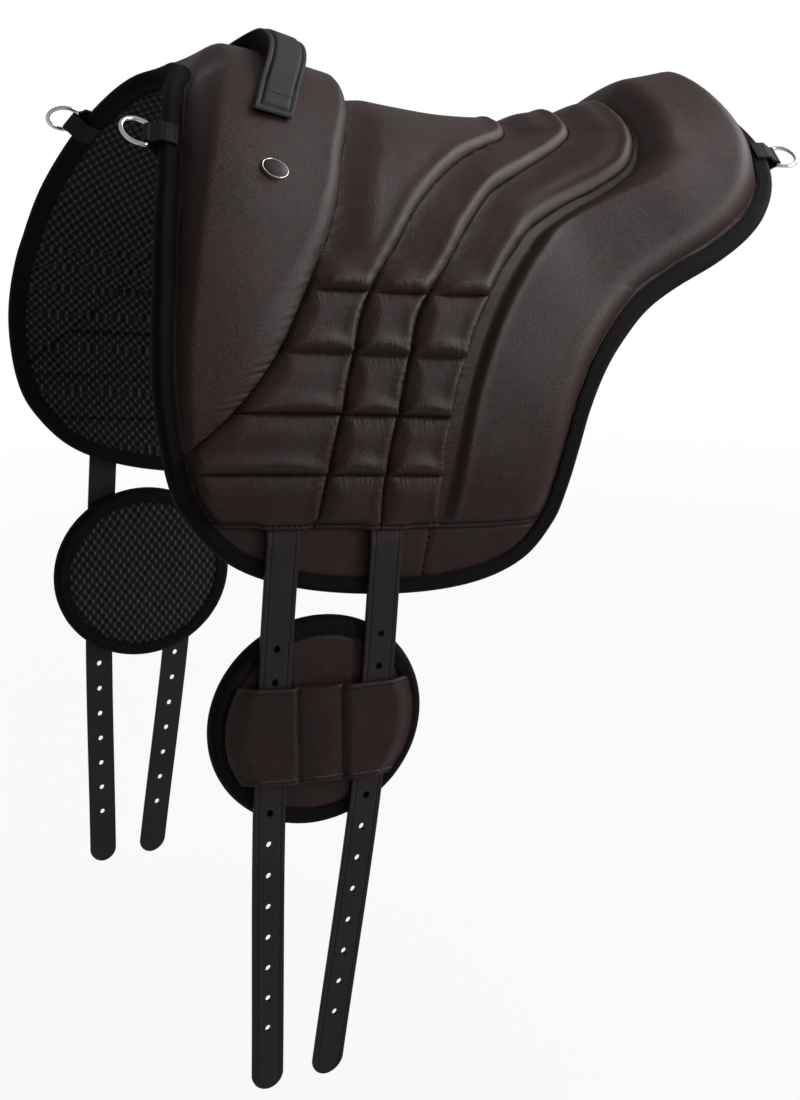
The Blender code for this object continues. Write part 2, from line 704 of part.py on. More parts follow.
def make_handle():
    """A padded leather strap, sewn down at both ends and standing clear over the pommel."""
    half = HANDLE_WIDTH / 2
    rib = HANDLE_THICKNESS * 0.3
    profile = ((-half, rib), (-half + rib, 0.0), (half - rib, 0.0), (half, rib),
               (half, HANDLE_THICKNESS - rib), (half - 2 * rib, HANDLE_THICKNESS),
               (-half + 2 * rib, HANDLE_THICKNESS), (-half, HANDLE_THICKNESS - rib))
    points = []
    for step in range(HANDLE_STEPS + 1):
        level = HANDLE_HALF_LEVEL * (2.0 * step / HANDLE_STEPS - 1.0)
        x = HANDLE_X + HANDLE_LEAN * (math.hypot(level, HANDLE_BEND) - HANDLE_BEND)
        free = ease(1.0 - abs(level) / HANDLE_SEWN_LEVEL)
        lift = HANDLE_SEAT_GAP + HANDLE_FINGER_GAP * math.sqrt(free)
        normal = back_frame(x, level)[0]
        seat = max(pommel_height(x + across, level) for across in (-half, 0.0, half))
        middle = back_point(x, level) + normal * (seat + lift)
        across = (back_point(x + X_STEP, level) - back_point(x - X_STEP, level)).normalized()
        points += [middle + across * side + normal * up for side, up in profile]
    wide = len(profile)
    faces = [tuple(range(wide)), tuple(range(len(points) - 1, len(points) - wide - 1, -1))]
    for i in range(HANDLE_STEPS):
        for j in range(wide):
            k = (j + 1) % wide
            faces.append((i * wide + j, (i + 1) * wide + j, (i + 1) * wide + k, i * wide + k))
    mesh = mesh_of("grab_handle", points, faces)
    outward(mesh)
    finish("grab_handle", mesh, "handle_leather")


def outward(mesh):
    """Turns a closed mesh's faces outwards."""
    work = bmesh.new()
    work.from_mesh(mesh)
    bmesh.ops.recalc_face_normals(work, faces=work.faces)
    work.to_mesh(mesh)
    work.free()


def extruded(name, outline, place, low, high, kind):
    """A flat outline (u, v) pushed from low to high; place(u, v, w) gives the world point."""
    count = len(outline)
    points = [place(u, v, low) for u, v in outline] + [place(u, v, high) for u, v in outline]
    faces = [tuple(range(count)), tuple(range(2 * count - 1, count - 1, -1))]
    for k in range(count):
        after = (k + 1) % count
        faces.append((k, k + count, after + count, after))
    mesh = mesh_of(name, points, faces)
    outward(mesh)
    return finish(name, mesh, kind)


def make_ring_set(name, rear, level, side):
    """A D-ring that swings on the bar held in its webbing tab at the edge of the pad."""
    place = edge_x(level, 0.0, rear)
    middle = (BINDING_TOP + BINDING_BOTTOM) / 2
    upper, lower = (pad_point(edge_x(down, 0.0, rear), side * down, middle)
                    for down in (level - LEVEL_STEP, level + LEVEL_STEP))
    root = pad_point(place, side * level, middle)
    along = (lower - upper).normalized()
    out = along.cross(back_frame(place, side * level)[0]).normalized()
    if (out.x > 0) != rear:
        out = -out
    normal = out.cross(along)

    eye = RING_WIRE / 2 + RING_PLAY
    bar = LAYER_GAP + TAB_LENGTH
    skin = eye + TAB_WEBBING
    arc = [math.radians(angle) for angle in range(-135, 136, 45)]
    slit = math.radians(170)
    shape = [(LAYER_GAP, -skin * 0.8)]
    shape += [(bar + skin * math.cos(a), skin * math.sin(a)) for a in arc]
    shape += [(LAYER_GAP, skin * 0.8), (LAYER_GAP, TAB_SLIT / 2)]
    shape += [(bar + eye * math.cos(a), eye * math.sin(a)) for a in [slit] + arc[::-1] + [-slit]]
    shape += [(LAYER_GAP, -TAB_SLIT / 2)]

    def world(u, v, w):
        return root + out * u + normal * v + along * w

    extruded("ring_tab_" + name, shape, world, -TAB_WIDTH / 2, TAB_WIDTH / 2, "webbing")

    centre = root + out * bar
    half = (RING_INNER_WIDTH + RING_WIRE) / 2
    depth = RING_INNER_DEPTH + RING_WIRE
    path = [(0.0, -half * 0.9), (0.0, half * 0.9)]
    for k in range(RING_BENDS):
        angle = math.pi * (0.5 - k / (RING_BENDS - 1))
        path.append((depth - half + half * math.cos(angle), half * math.sin(angle)))
    points = []
    for k, (u, v) in enumerate(path):
        u0, v0 = path[k - 1]
        u1, v1 = path[(k + 1) % len(path)]
        run = Vector((u1 - u0, v1 - v0)).normalized()
        for s in range(RING_SIDES):
            angle = 2 * math.pi * (s + 0.5) / RING_SIDES
            aside = RING_WIRE / 2 * math.cos(angle)
            up = RING_WIRE / 2 * math.sin(angle)
            points.append(centre + out * (u + run.y * aside) + along * (v - run.x * aside) + normal * up)
    faces = []
    for i in range(len(path)):
        here = i * RING_SIDES
        after = (i + 1) % len(path) * RING_SIDES
        for j in range(RING_SIDES):
            k = (j + 1) % RING_SIDES
            faces.append((here + j, after + j, after + k, here + k))
    mesh = mesh_of("d_ring_" + name, [p - centre for p in points], faces)
    outward(mesh)
    ring = finish("d_ring_" + name, mesh, "steel")
    ring.location = centre


def make_billet(name, xs, side):
    """A leather strap with punched holes and a round end; xs are its middle at hem, guard and end."""
    top_z = back_point(xs[0], STRAP_TOP_LEVEL).z

    def middle(z):
        return curve_at([(-top_z, xs[0]), (-GUARD_Z, xs[1]), (-STRAP_BOTTOM_Z, xs[2])], -z)

    hole_z = [STRAP_BOTTOM_Z + STRAP_TAIL + k * STRAP_HOLE_PITCH for k in range(STRAP_HOLE_COUNT)]
    hole_z.reverse()
    half = STRAP_WIDTH / 2
    radius = STRAP_HOLE_WIDTH / 2
    stations = [top_z]
    for z in hole_z:
        stations += [z + STRAP_HOLE_PITCH / 2, z - STRAP_HOLE_PITCH / 2]
    rows = [(z, middle(z) - half, middle(z) + half) for z in stations[:1] + stations[1::2] + stations[-1:]]
    work = bmesh.new()
    front = {}

    def vertex(x, z, key):
        if key not in front:
            front[key] = work.verts.new((x, 0.0, z))
        return front[key]

    left = [vertex(low, z, ("left", k)) for k, (z, low, high) in enumerate(rows)]
    right = [vertex(high, z, ("right", k)) for k, (z, low, high) in enumerate(rows)]
    work.faces.new((left[0], right[0], right[1], left[1]))
    for k, z in enumerate(hole_z):
        centre = middle(z)
        ring = [work.verts.new((centre + radius * math.cos(a), 0.0, z + radius * math.sin(a)))
                for a in (math.pi * (2 * s + 1) / STRAP_HOLE_SIDES for s in range(STRAP_HOLE_SIDES))]
        a, b, c, d = left[k + 1], right[k + 1], right[k + 2], left[k + 2]
        ne, n, nw, sw, s, se = ring
        work.faces.new((a, b, n))
        work.faces.new((b, ne, n))
        work.faces.new((b, se, ne))
        work.faces.new((b, c, se))
        work.faces.new((c, s, se))
        work.faces.new((c, d, s))
        work.faces.new((d, sw, s))
        work.faces.new((d, nw, sw))
        work.faces.new((d, a, nw))
        work.faces.new((a, n, nw))
    tip = middle(STRAP_BOTTOM_Z)
    nose = [left[-1]]
    shoulder = STRAP_BOTTOM_Z + half
    for k in range(STRAP_END_BENDS + 1):
        angle = math.pi + math.pi * k / STRAP_END_BENDS
        nose.append(work.verts.new((tip + half * math.cos(angle), 0.0, shoulder + half * math.sin(angle))))
    nose.append(right[-1])
    work.faces.new(nose)
    bmesh.ops.triangulate(work, faces=[face for face in work.faces if len(face.verts) > 4])
    grown = bmesh.ops.extrude_face_region(work, geom=list(work.faces))
    moved = [item for item in grown["geom"] if isinstance(item, bmesh.types.BMVert)]
    bmesh.ops.translate(work, verts=moved, vec=(0.0, STRAP_THICKNESS, 0.0))
    bmesh.ops.recalc_face_normals(work, faces=work.faces)
    mesh = bpy.data.meshes.new(name)
    hinge = Vector((xs[0], side * STRAP_INNER_Y, top_z))
    inner = side * STRAP_INNER_Y if side > 0 else -STRAP_OUTER_Y
    bmesh.ops.translate(work, verts=work.verts, vec=Vector((0.0, inner, 0.0)) - hinge)
    work.to_mesh(mesh)
    work.free()
    billet = finish(name, mesh, "strap_leather")
    billet.location = hinge


def oval(half_length, half_height, count):
    return [(half_length * math.cos(2 * math.pi * k / count), half_height * math.sin(2 * math.pi * k / count))
            for k in range(count)]


def make_guard(word, side):
    """A round pad that slides on the two billets of its side, which run under its leather sleeve."""
    rim_y = STRAP_INNER_Y - LAYER_GAP
    face_y = rim_y - BINDING_THICKNESS - LAYER_GAP
    foam_y = face_y - GUARD_FACE_THICKNESS - LAYER_GAP
    mesh_y = foam_y - GUARD_FOAM_THICKNESS - LAYER_GAP
    back_y = mesh_y - GUARD_LINING_THICKNESS
    rim = BINDING_THICKNESS + LAYER_GAP * 3

    def world(u, v, w):
        return Vector((GUARD_X + u, side * w, GUARD_Z + v))

    inner = oval(GUARD_HALF_LENGTH - rim, GUARD_HALF_HEIGHT - rim, GUARD_SIDES)
    extruded("guard_face_" + word, inner, world, face_y - GUARD_FACE_THICKNESS, face_y, "leather")
    core = oval(GUARD_HALF_LENGTH - 2 * rim, GUARD_HALF_HEIGHT - 2 * rim, GUARD_SIDES)
    extruded("guard_foam_" + word, core, world, foam_y - GUARD_FOAM_THICKNESS, foam_y, "foam")
    extruded("guard_lining_" + word, inner, world, back_y, mesh_y, "mesh")

    stations = []
    for u, v in oval(GUARD_HALF_LENGTH, GUARD_HALF_HEIGHT, GUARD_SIDES):
        inward = Vector((-u / GUARD_HALF_LENGTH ** 2, -v / GUARD_HALF_HEIGHT ** 2)).normalized()

        def place(depth, height, u=u, v=v, inward=inward):
            return world(u + inward.x * depth, v + inward.y * depth, height)
        stations.append(place)
    profile = binding_profile(GUARD_BINDING_LEG, BINDING_THICKNESS,
                              rim_y, back_y - LAYER_GAP - BINDING_THICKNESS)
    band = swept_edge("guard_binding_" + word, stations, profile, "binding")
    outward(band.data)

    seat = rim_y + LAYER_GAP
    sewn = face_y + LAYER_GAP
    crest = STRAP_OUTER_Y + STRAP_CLEARANCE
    wall = SLEEVE_THICKNESS
    inner_x = SLEEVE_STITCH_GAP / 2
    outer_x = SLEEVE_HALF_LENGTH
    ramp = SLEEVE_RAMP
    under = ((-outer_x, seat), (-outer_x + 2 * ramp, seat), (-outer_x + 3 * ramp, crest),
             (-inner_x - ramp, crest), (-inner_x, sewn))
    over = ((-inner_x + ramp / 2, sewn + wall), (-inner_x - ramp / 2, crest + wall),
            (-outer_x + 2.5 * ramp, crest + wall), (-outer_x + ramp, seat + wall), (-outer_x, seat + wall))
    right_under = [(-x, y) for x, y in reversed(under)]
    right_over = [(-x, y) for x, y in reversed(over)]
    outline = list(under) + right_under + right_over + list(over)

    def across(u, v, w):
        return Vector((GUARD_X + u, side * v, GUARD_Z - SLEEVE_DROP + w))

    extruded("guard_sleeve_" + word, outline, across, -SLEEVE_HALF_HEIGHT, SLEEVE_HALF_HEIGHT, "leather")


def make_pad():
    start_scene()
    make_covers()
    make_padding()
    make_carriers()
    make_lining()
    make_binding()
    make_handle()
    for side, word in ((NEAR, "near"), (OFF, "off")):
        make_ring_set(word + "_front", False, RING_FRONT_LEVEL, side)
        make_ring_set(word + "_rear", True, RING_REAR_LEVEL, side)
        make_billet("billet_%s_front" % word, FRONT_STRAP_X, side)
        make_billet("billet_%s_rear" % word, REAR_STRAP_X, side)
        make_guard(word, side)


make_pad()
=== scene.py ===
"""A bareback pad, dressed in its leather, mesh, tape, thread and metal, in metres."""

import functools
import math

import bmesh
import bpy
import numpy as np
from mathutils import Matrix, Vector


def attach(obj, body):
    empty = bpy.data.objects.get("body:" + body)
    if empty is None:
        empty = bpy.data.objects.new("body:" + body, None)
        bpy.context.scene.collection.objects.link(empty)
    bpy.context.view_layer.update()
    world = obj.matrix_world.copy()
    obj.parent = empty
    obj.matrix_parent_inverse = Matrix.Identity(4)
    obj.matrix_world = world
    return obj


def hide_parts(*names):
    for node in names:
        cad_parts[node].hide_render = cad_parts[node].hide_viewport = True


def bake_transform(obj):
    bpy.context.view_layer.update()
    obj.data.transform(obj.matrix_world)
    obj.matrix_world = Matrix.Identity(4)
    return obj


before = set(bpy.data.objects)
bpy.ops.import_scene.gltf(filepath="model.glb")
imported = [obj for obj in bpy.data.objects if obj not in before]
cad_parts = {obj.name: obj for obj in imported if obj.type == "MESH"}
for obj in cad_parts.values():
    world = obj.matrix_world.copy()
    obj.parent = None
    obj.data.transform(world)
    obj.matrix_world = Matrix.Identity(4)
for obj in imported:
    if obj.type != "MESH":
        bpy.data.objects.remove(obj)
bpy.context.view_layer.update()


# The studio: a pale floor under a white sky, with soft lamps over and behind the pad, seen from
# the near side a little ahead of the withers. Only the camera and bright reflections see the white.
CAMERA_PLACE = (-0.700, -1.362, 0.105)
CAMERA_TILT = 90.0 - 16.3
CAMERA_TURN = -25.6
PHOTO_FOCUS = 1800.0
PHOTO_HEIGHT = 1100.0
SENSOR = 36.0
FLOOR_Z = -0.72
FLOOR_SIZE = 14.0
FLOOR_GLOW = 0.90
FLOOR_FADE_START = 1.0
FLOOR_FADE_END = 2.6
FLOOR_PAINT = (0.55, 0.55, 0.55, 1.0)
SKY_FILL = 0.08
MIRRORED_WHITE = 0.30
WHITE = (1.0, 1.0, 1.0, 1.0)
LAMPS = (("lamp_over", (0.30, 0.30, 1.50), (0.0, 0.0, 0.0), 0.9, 8.0, False),
         ("lamp_rear", (1.45, 0.0, 0.95), (0.05, 0.0, -0.05), 1.2, 27.0, True),
         ("lamp_side", (0.90, -0.85, 0.25), (0.1, -0.1, -0.14), 0.6, 11.0, True),
         ("lamp_near", (-0.60, -1.80, 0.60), (-0.05, -0.1, -0.15), 1.0, 4.0, False),
         ("lamp_off", (-0.50, 1.90, 0.70), (-0.05, 0.1, -0.15), 1.0, 14.0, False))


class Flow:
    """One output in a node tree; sums, products and the like of flows add the Math nodes."""

    def __init__(self, tree, socket=None):
        self.tree = tree
        self.socket = socket

    def node(self, kind, settings=None, sockets=None, output=0):
        """Adds a node: its settings first, then the values or links of its sockets."""
        made = self.tree.nodes.new(kind)
        for key, value in (settings or {}).items():
            setattr(made, key, value)
        for key, value in (sockets or {}).items():
            if isinstance(value, Flow):
                self.tree.links.new(value.socket, made.inputs[key])
            else:
                made.inputs[key].default_value = value
        return Flow(self.tree, made.outputs[output] if made.outputs else None)

    def maths(self, operation, *values):
        return self.node("ShaderNodeMath", {"operation": operation}, dict(enumerate(values)))

    def __add__(self, other):
        return self.maths("ADD", self, other)

    def __radd__(self, other):
        return self.maths("ADD", other, self)

    def __sub__(self, other):
        return self.maths("SUBTRACT", self, other)

    def __rsub__(self, other):
        return self.maths("SUBTRACT", other, self)

    def __mul__(self, other):
        return self.maths("MULTIPLY", self, other)

    def __rmul__(self, other):
        return self.maths("MULTIPLY", other, self)

    def sine(self):
        return self.maths("SINE", self)

    def cosine(self):
        return self.maths("COSINE", self)

    def step(self, low, high):
        """0 below the low value and 1 above the high one, smooth between."""
        return self.node("ShaderNodeMapRange", {"interpolation_type": "SMOOTHSTEP"},
                         {"Value": self, "From Min": low, "From Max": high})

    def mix(self, low, high):
        """A colour between two, by this flow as the factor."""
        return self.node("ShaderNodeMix", {"data_type": "RGBA"}, {0: self, 6: low, 7: high}, 2)


def shown_white(tree):
    """1 for what looks straight or through glass at the studio's white, and less in a reflection."""
    path = Flow(tree).node("ShaderNodeLightPath")
    camera_ray, glossy_ray, clear_ray = [Flow(tree, path.socket.node.outputs[name]) for name in
                                         ("Is Camera Ray", "Is Glossy Ray", "Is Transmission Ray")]
    straight = camera_ray.maths("MAXIMUM", camera_ray, clear_ray)
    return straight.maths("MAXIMUM", straight, glossy_ray * MIRRORED_WHITE)


def make_sky():
    world = bpy.data.worlds.new("studio_sky")
    world.use_nodes = True
    tree = world.node_tree
    tree.nodes.clear()
    white = shown_white(tree)
    strength = white * (1.0 - SKY_FILL) + SKY_FILL
    sky = white.node("ShaderNodeBackground", None, {"Color": WHITE, "Strength": strength})
    white.node("ShaderNodeOutputWorld", None, {"Surface": sky})
    bpy.context.scene.world = world


def make_floor():
    material = bpy.data.materials.new("studio_floor")
    material.use_nodes = True
    tree = material.node_tree
    tree.nodes.clear()
    white = shown_white(tree)
    paint = white.node("ShaderNodeBsdfDiffuse", None, {"Color": FLOOR_PAINT})
    glow = white.node("ShaderNodeEmission", None, {"Color": WHITE, "Strength": 1.0})
    spot = white.node("ShaderNodeNewGeometry")
    reach = Flow(tree, white.node("ShaderNodeVectorMath", {"operation": "LENGTH"}, {0: spot}, 1).socket)
    far = reach.step(FLOOR_FADE_START, FLOOR_FADE_END)
    both = white.node("ShaderNodeMixShader", None,
                      {0: white * (FLOOR_GLOW + (1.0 - FLOOR_GLOW) * far), 1: paint, 2: glow})
    white.node("ShaderNodeOutputMaterial", None, {"Surface": both})
    bpy.ops.mesh.primitive_plane_add(size=FLOOR_SIZE, location=(0.0, 0.0, FLOOR_Z))
    floor = bpy.context.object
    floor.name = "studio_floor"
    floor.data.materials.append(material)


def make_lamp(name, place, target, size, power, mirrored):
    """A round soft lamp; one that isn't mirrored lights the pad without a highlight of its own."""
    data = bpy.data.lights.new(name, "AREA")
    data.shape = "DISK"
    data.size = size
    data.energy = power
    lamp = bpy.data.objects.new(name, data)
    lamp.location = place
    aim = Vector(target) - Vector(place)
    lamp.rotation_euler = aim.to_track_quat("-Z", "Y").to_euler()
    lamp.visible_glossy = mirrored
    bpy.context.scene.collection.objects.link(lamp)


camera_data = bpy.data.cameras.new("camera")
camera_data.sensor_width = SENSOR
camera_data.lens = PHOTO_FOCUS / PHOTO_HEIGHT * SENSOR
camera = bpy.data.objects.new("camera", camera_data)
camera.location = CAMERA_PLACE
camera.rotation_euler = (math.radians(CAMERA_TILT), 0.0, math.radians(CAMERA_TURN))
bpy.context.scene.collection.objects.link(camera)
bpy.context.scene.camera = camera
bpy.context.scene.view_settings.view_transform = "Standard"
make_sky()
make_floor()
for lamp in LAMPS:
    make_lamp(*lamp)


# The shape of the horse's back, on which every layer is laid out. A place is (x, level): the level
# counts girth lines down from the ridge, and levels 4 to 8 are the sewn rows, 40 mm apart.
BACK_HALF_WIDTH = 0.204
BACK_REACH = 0.290
RIDGE_LINE = ((-0.330, 0.088), (-0.246, 0.066), (-0.190, 0.047), (-0.110, 0.022),
              (0.020, 0.0), (0.140, 0.011), (0.260, 0.028))
WITHERS_FULLNESS = 2.0
LOIN_FULLNESS = 3.0
WITHERS_X = -0.240
LOIN_X = 0.020
RIDGE_ROUNDNESS = 0.7
QUILT_ROW = 0.040
FIRST_ROW_LEVEL = 4
FIRST_ROW_Z = -0.090
LAST_ROW_LEVEL = 8
ROW_SLOPE = -0.12
ROW_DATUM_X = -0.165
ROW_SLOPE_END_X = -0.070
ROW_SLOPE_BEND = 0.040
OUTLINE = ((0.0, -0.248), (0.35, -0.251), (0.8, -0.264), (1.6, -0.280), (2.5, -0.297), (3.5, -0.314),
           (4.6, -0.326), (5.9, -0.331), (7.2, -0.325), (8.0, -0.310), (8.75, -0.277),
           (9.15, -0.225), (9.27, -0.155), (9.12, -0.092), (8.72, -0.046), (8.05, -0.019),
           (7.4, -0.006), (6.7, 0.005), (6.0, 0.017), (5.35, 0.034), (4.8, 0.056),
           (4.3, 0.083), (3.9, 0.117), (3.5, 0.160), (3.1, 0.195), (2.7, 0.219),
           (2.2, 0.238), (1.6, 0.249), (0.8, 0.252), (0.0, 0.252))
CHART_STEPS = 12
LEVEL_STEP = 0.05
X_STEP = 0.001
NEAR = -1
OFF = 1
SIDES = ((NEAR, "near"), (OFF, "off"))


def ease(value):
    value = np.clip(value, 0.0, 1.0)
    return value * value * (3.0 - 2.0 * value)


def curve(points, at):
    """A smooth curve through (at, value) points, for an array of places."""
    places = np.array([point[0] for point in points])
    values = np.array([point[1] for point in points])
    spans = np.diff(places)
    secants = np.diff(values) / spans
    slopes = np.empty(len(places))
    slopes[0] = secants[0]
    slopes[-1] = secants[-1]
    slopes[1:-1] = (secants[:-1] * spans[1:] + secants[1:] * spans[:-1]) / (spans[:-1] + spans[1:])
    at = np.asarray(at, dtype=float)
    k = np.clip(np.searchsorted(places, at, side="left") - 1, 0, len(spans) - 1)
    u = (at - places[k]) / spans[k]
    inside = (2 * u ** 3 - 3 * u ** 2 + 1) * values[k] + (3 * u ** 2 - 2 * u ** 3) * values[k + 1]
    run = spans[k]
    inside += (u ** 3 - 2 * u ** 2 + u) * run * slopes[k] + (u ** 3 - u ** 2) * run * slopes[k + 1]
    before = values[k] + slopes[k] * spans[k] * u
    after = values[k + 1] + slopes[k + 1] * spans[k] * (u - 1.0)
    return np.where(u < 0.0, before, np.where(u > 1.0, after, inside))


def back_point(x, level):
    """Places on the horse's back."""
    x, level = np.broadcast_arrays(np.asarray(x, dtype=float), np.asarray(level, dtype=float))
    down = np.abs(level)
    ridge = curve(RIDGE_LINE, x)
    bend = np.hypot(x - ROW_SLOPE_END_X, ROW_SLOPE_BEND)
    sloped_x = (x + ROW_SLOPE_END_X - bend) / 2
    first_row = FIRST_ROW_Z + ROW_SLOPE * (sloped_x - ROW_DATUM_X)
    share = np.minimum(down / FIRST_ROW_LEVEL, 1.0) ** (1.0 / RIDGE_ROUNDNESS)
    z = ridge - (ridge - first_row) * share - QUILT_ROW * np.maximum(down - FIRST_ROW_LEVEL, 0.0)
    fullness = WITHERS_FULLNESS
    fullness = fullness + (LOIN_FULLNESS - WITHERS_FULLNESS) * ease((x - WITHERS_X) / (LOIN_X - WITHERS_X))
    drop = np.clip((ridge - z) / BACK_REACH, 0.0, 1.0)
    half_width = BACK_HALF_WIDTH * (1.0 - (1.0 - drop) ** fullness) ** RIDGE_ROUNDNESS
    return np.stack([x, np.copysign(half_width, level), z], axis=-1)


def back_frame(x, level):
    """The outward normals there, and how long one level is."""
    along = back_point(x + X_STEP, level) - back_point(x - X_STEP, level)
    down = back_point(x, level + LEVEL_STEP / 2) - back_point(x, level - LEVEL_STEP / 2)
    normal = np.cross(along, down)
    normal /= np.linalg.norm(normal, axis=-1, keepdims=True)
    return normal, np.linalg.norm(down, axis=-1) / LEVEL_STEP


def pad_point(x, level, height):
    return back_point(x, level) + back_frame(x, level)[0] * np.asarray(height)[..., None]


@functools.cache
def outline_chart():
    """The half outline, front to rear, as close places (x, level)."""
    points = [(-level, x) for level, x in OUTLINE[1:2]] + list(OUTLINE)
    points += [(-level, x) for level, x in OUTLINE[-2:-1]]
    points = np.array([(x, level * QUILT_ROW) for level, x in points])
    chart = []
    for k in range(1, len(points) - 2):
        p0, p1, p2, p3 = points[k - 1:k + 3]
        for step in range(CHART_STEPS):
            u = step / CHART_STEPS
            at = 0.5 * ((2 * p1) + (p2 - p0) * u + (2 * p0 - 5 * p1 + 4 * p2 - p3) * u * u
                        + (3 * p1 - p0 - 3 * p2 + p3) * u ** 3)
            chart.append((at[0], at[1] / QUILT_ROW))
    chart.append((OUTLINE[-1][1], OUTLINE[-1][0]))
    return np.array(chart)


def square_in(chart):
    """For each place of a chart, the step inwards (x, level) that is one metre long."""
    mirror = np.array([1.0, -1.0])
    around = np.vstack([chart[1] * mirror, chart, chart[-2] * mirror])
    size = back_frame(chart[:, 0], np.maximum(chart[:, 1], LEVEL_STEP))[1]
    run = around[2:] - around[:-2]
    run[:, 1] *= size
    run /= np.linalg.norm(run, axis=1)[:, None]
    return np.column_stack([run[:, 1], -run[:, 0] / size])


@functools.cache
def inset_chart(inset):
    chart = outline_chart()
    return chart + square_in(chart) * inset


def edge_x(level, inset, rear):
    """x of the drawn-in outline's front or rear half at some levels."""
    chart = inset_chart(inset)
    low = int(np.argmax(chart[:, 1]))
    half = chart[:low - 1:-1] if rear else chart[:low + 1]
    rising = np.maximum.accumulate(half[:, 1])
    return np.interp(np.abs(level), rising, half[:, 0])


def edge_distance(x, level):
    """How far inside the outline some places are, measured along the surface."""
    x, level = np.broadcast_arrays(np.asarray(x, dtype=float), np.asarray(level, dtype=float))
    shape = x.shape
    down = np.maximum(np.abs(level), LEVEL_STEP).ravel()
    flat_x = x.ravel()
    size = back_frame(flat_x, down)[1]
    chart = outline_chart()
    nearest = np.empty(len(flat_x))
    batch = 8000
    for start in range(0, len(flat_x), batch):
        part = slice(start, start + batch)
        scale = size[part, None]
        from_x = flat_x[part, None] - chart[None, :-1, 0]
        from_y = (down[part, None] - chart[None, :-1, 1]) * scale
        run_x = np.diff(chart[:, 0])[None, :]
        run_y = np.diff(chart[:, 1])[None, :] * scale
        share = np.clip((from_x * run_x + from_y * run_y) / (run_x ** 2 + run_y ** 2), 0.0, 1.0)
        away = (from_x - run_x * share) ** 2 + (from_y - run_y * share) ** 2
        nearest[part] = np.sqrt(away.min(axis=1))
    return nearest.reshape(shape)


def roll(distance, width):
    """A quarter-round edge: 0 at the edge and 1 from the given width on."""
    return np.sqrt(1.0 - (1.0 - np.clip(distance / width, 0.0, 1.0)) ** 2)


WAVES = np.random.default_rng(7).normal(size=(9, 3))
WAVE_STARTS = np.random.default_rng(8).uniform(0.0, 2.0 * math.pi, 9)


def unevenness(points, length):
    """A smooth wandering value near -1 to 1, whose swells are about the given length."""
    turns = points @ (WAVES.T * (2.0 * math.pi / (length * 2.2)))
    return np.sin(turns + WAVE_STARTS).sum(axis=-1) / 4.0


def both_sides(downs):
    return np.concatenate([-downs[:0:-1], downs])


def mirrored(values):
    """A table for the levels from 0 down, made into one for both sides."""
    return np.concatenate([values[:0:-1], values])


# The spacer mesh against the horse: one piece each side and a strip over the spine. It is a black
# knit with rows of open eyes, sewn through with the rows and with the pommel's and cantle's seams.
LINING_THICKNESS = 0.003
LAYER_INSET = 0.003
LINING_CHANNEL = 0.0030
LINING_CHANNEL_WIDTH = 0.0055
LINING_LAST_LEVEL = 9.05
LINING_COLUMNS = 180
SPINE_STRIP_LEVEL = 0.5
SPINE_STRIP_RISE = 0.0011
MESH_EYE_PITCH = 0.0078
MESH_EYE_STEP = 0.0104
MESH_SHADOW = (2, 2, 2)
MESH_THREAD_DARK = (10, 8, 8)
MESH_THREAD_LIGHT = (22, 18, 19)
# The colour of the painted glint on the thread ridges.
MESH_PAINTED_GLINT = (104, 98, 97)
MESH_SHEEN = 0.22
LINING_UNEVENNESS = 0.0002
POMMEL_SEAM = ((0.0, -0.117), (1.0, -0.129), (2.05, -0.153), (2.6, -0.164), (3.2, -0.180),
               (4.0, -0.208), (5.1, -0.242), (6.05, -0.280), (6.6, -0.308), (7.05, -0.330))
FRONT_SEAM = ((0.0, 0.037), (0.3, 0.036), (0.6, 0.027), (0.9, 0.000), (1.25, -0.028),
              (1.6, -0.050), (2.4, -0.092), (3.2, -0.124), (4.1, -0.162), (5.05, -0.182),
              (6.0, -0.197), (7.0, -0.211), (8.0, -0.221))
MIDDLE_SEAM = ((0.0, 0.096), (0.45, 0.093), (0.8, 0.084), (1.1, 0.062), (1.45, 0.028),
               (1.9, -0.012), (2.7, -0.055), (3.45, -0.086), (4.2, -0.119), (5.05, -0.137),
               (6.0, -0.152), (7.0, -0.165), (8.0, -0.170))
CANTLE_SEAM = ((0.0, 0.146), (0.45, 0.144), (0.9, 0.139), (1.35, 0.128), (1.75, 0.108),
               (2.05, 0.076), (2.35, 0.038), (2.7, 0.004), (3.2, -0.025), (4.2, -0.067),
               (5.1, -0.092), (6.0, -0.108), (7.0, -0.118), (8.0, -0.125))


def seam_at(points, level):
    """x of a seam at some levels, level with the ridge where the two sides meet."""
    return curve([(-points[1][0], points[1][1])] + list(points), np.abs(level))


def seam_distance(points, x, level):
    """How far behind a seam some places are, measured square to the seam."""
    down = np.abs(level)
    run = seam_at(points, down + LEVEL_STEP) - seam_at(points, down - LEVEL_STEP)
    size = back_frame(x, down + LEVEL_STEP)[1]
    return (x - seam_at(points, level)) / np.hypot(1.0, run / (2 * LEVEL_STEP * size))


def level_length(x, level):
    """How far some places are from the ridge along the surface, with the side's sign."""
    steps = 12
    middles = (np.arange(steps) + 0.5) / steps
    return sum(back_frame(x, level * share)[1] for share in middles) * level / steps


def colour_of(shade):
    """A screen colour from 0 to 255 as the linear one that the shader takes."""
    parts = [value / 255.0 for value in shade]
    linear = [part / 12.92 if part <= 0.04045 else ((part + 0.055) / 1.055) ** 2.4 for part in parts]
    return (*linear, 1.0)


def new_material(name):
    material = bpy.data.materials.new(name)
    material.use_nodes = True
    material.node_tree.nodes.clear()
    return material, Flow(material.node_tree)


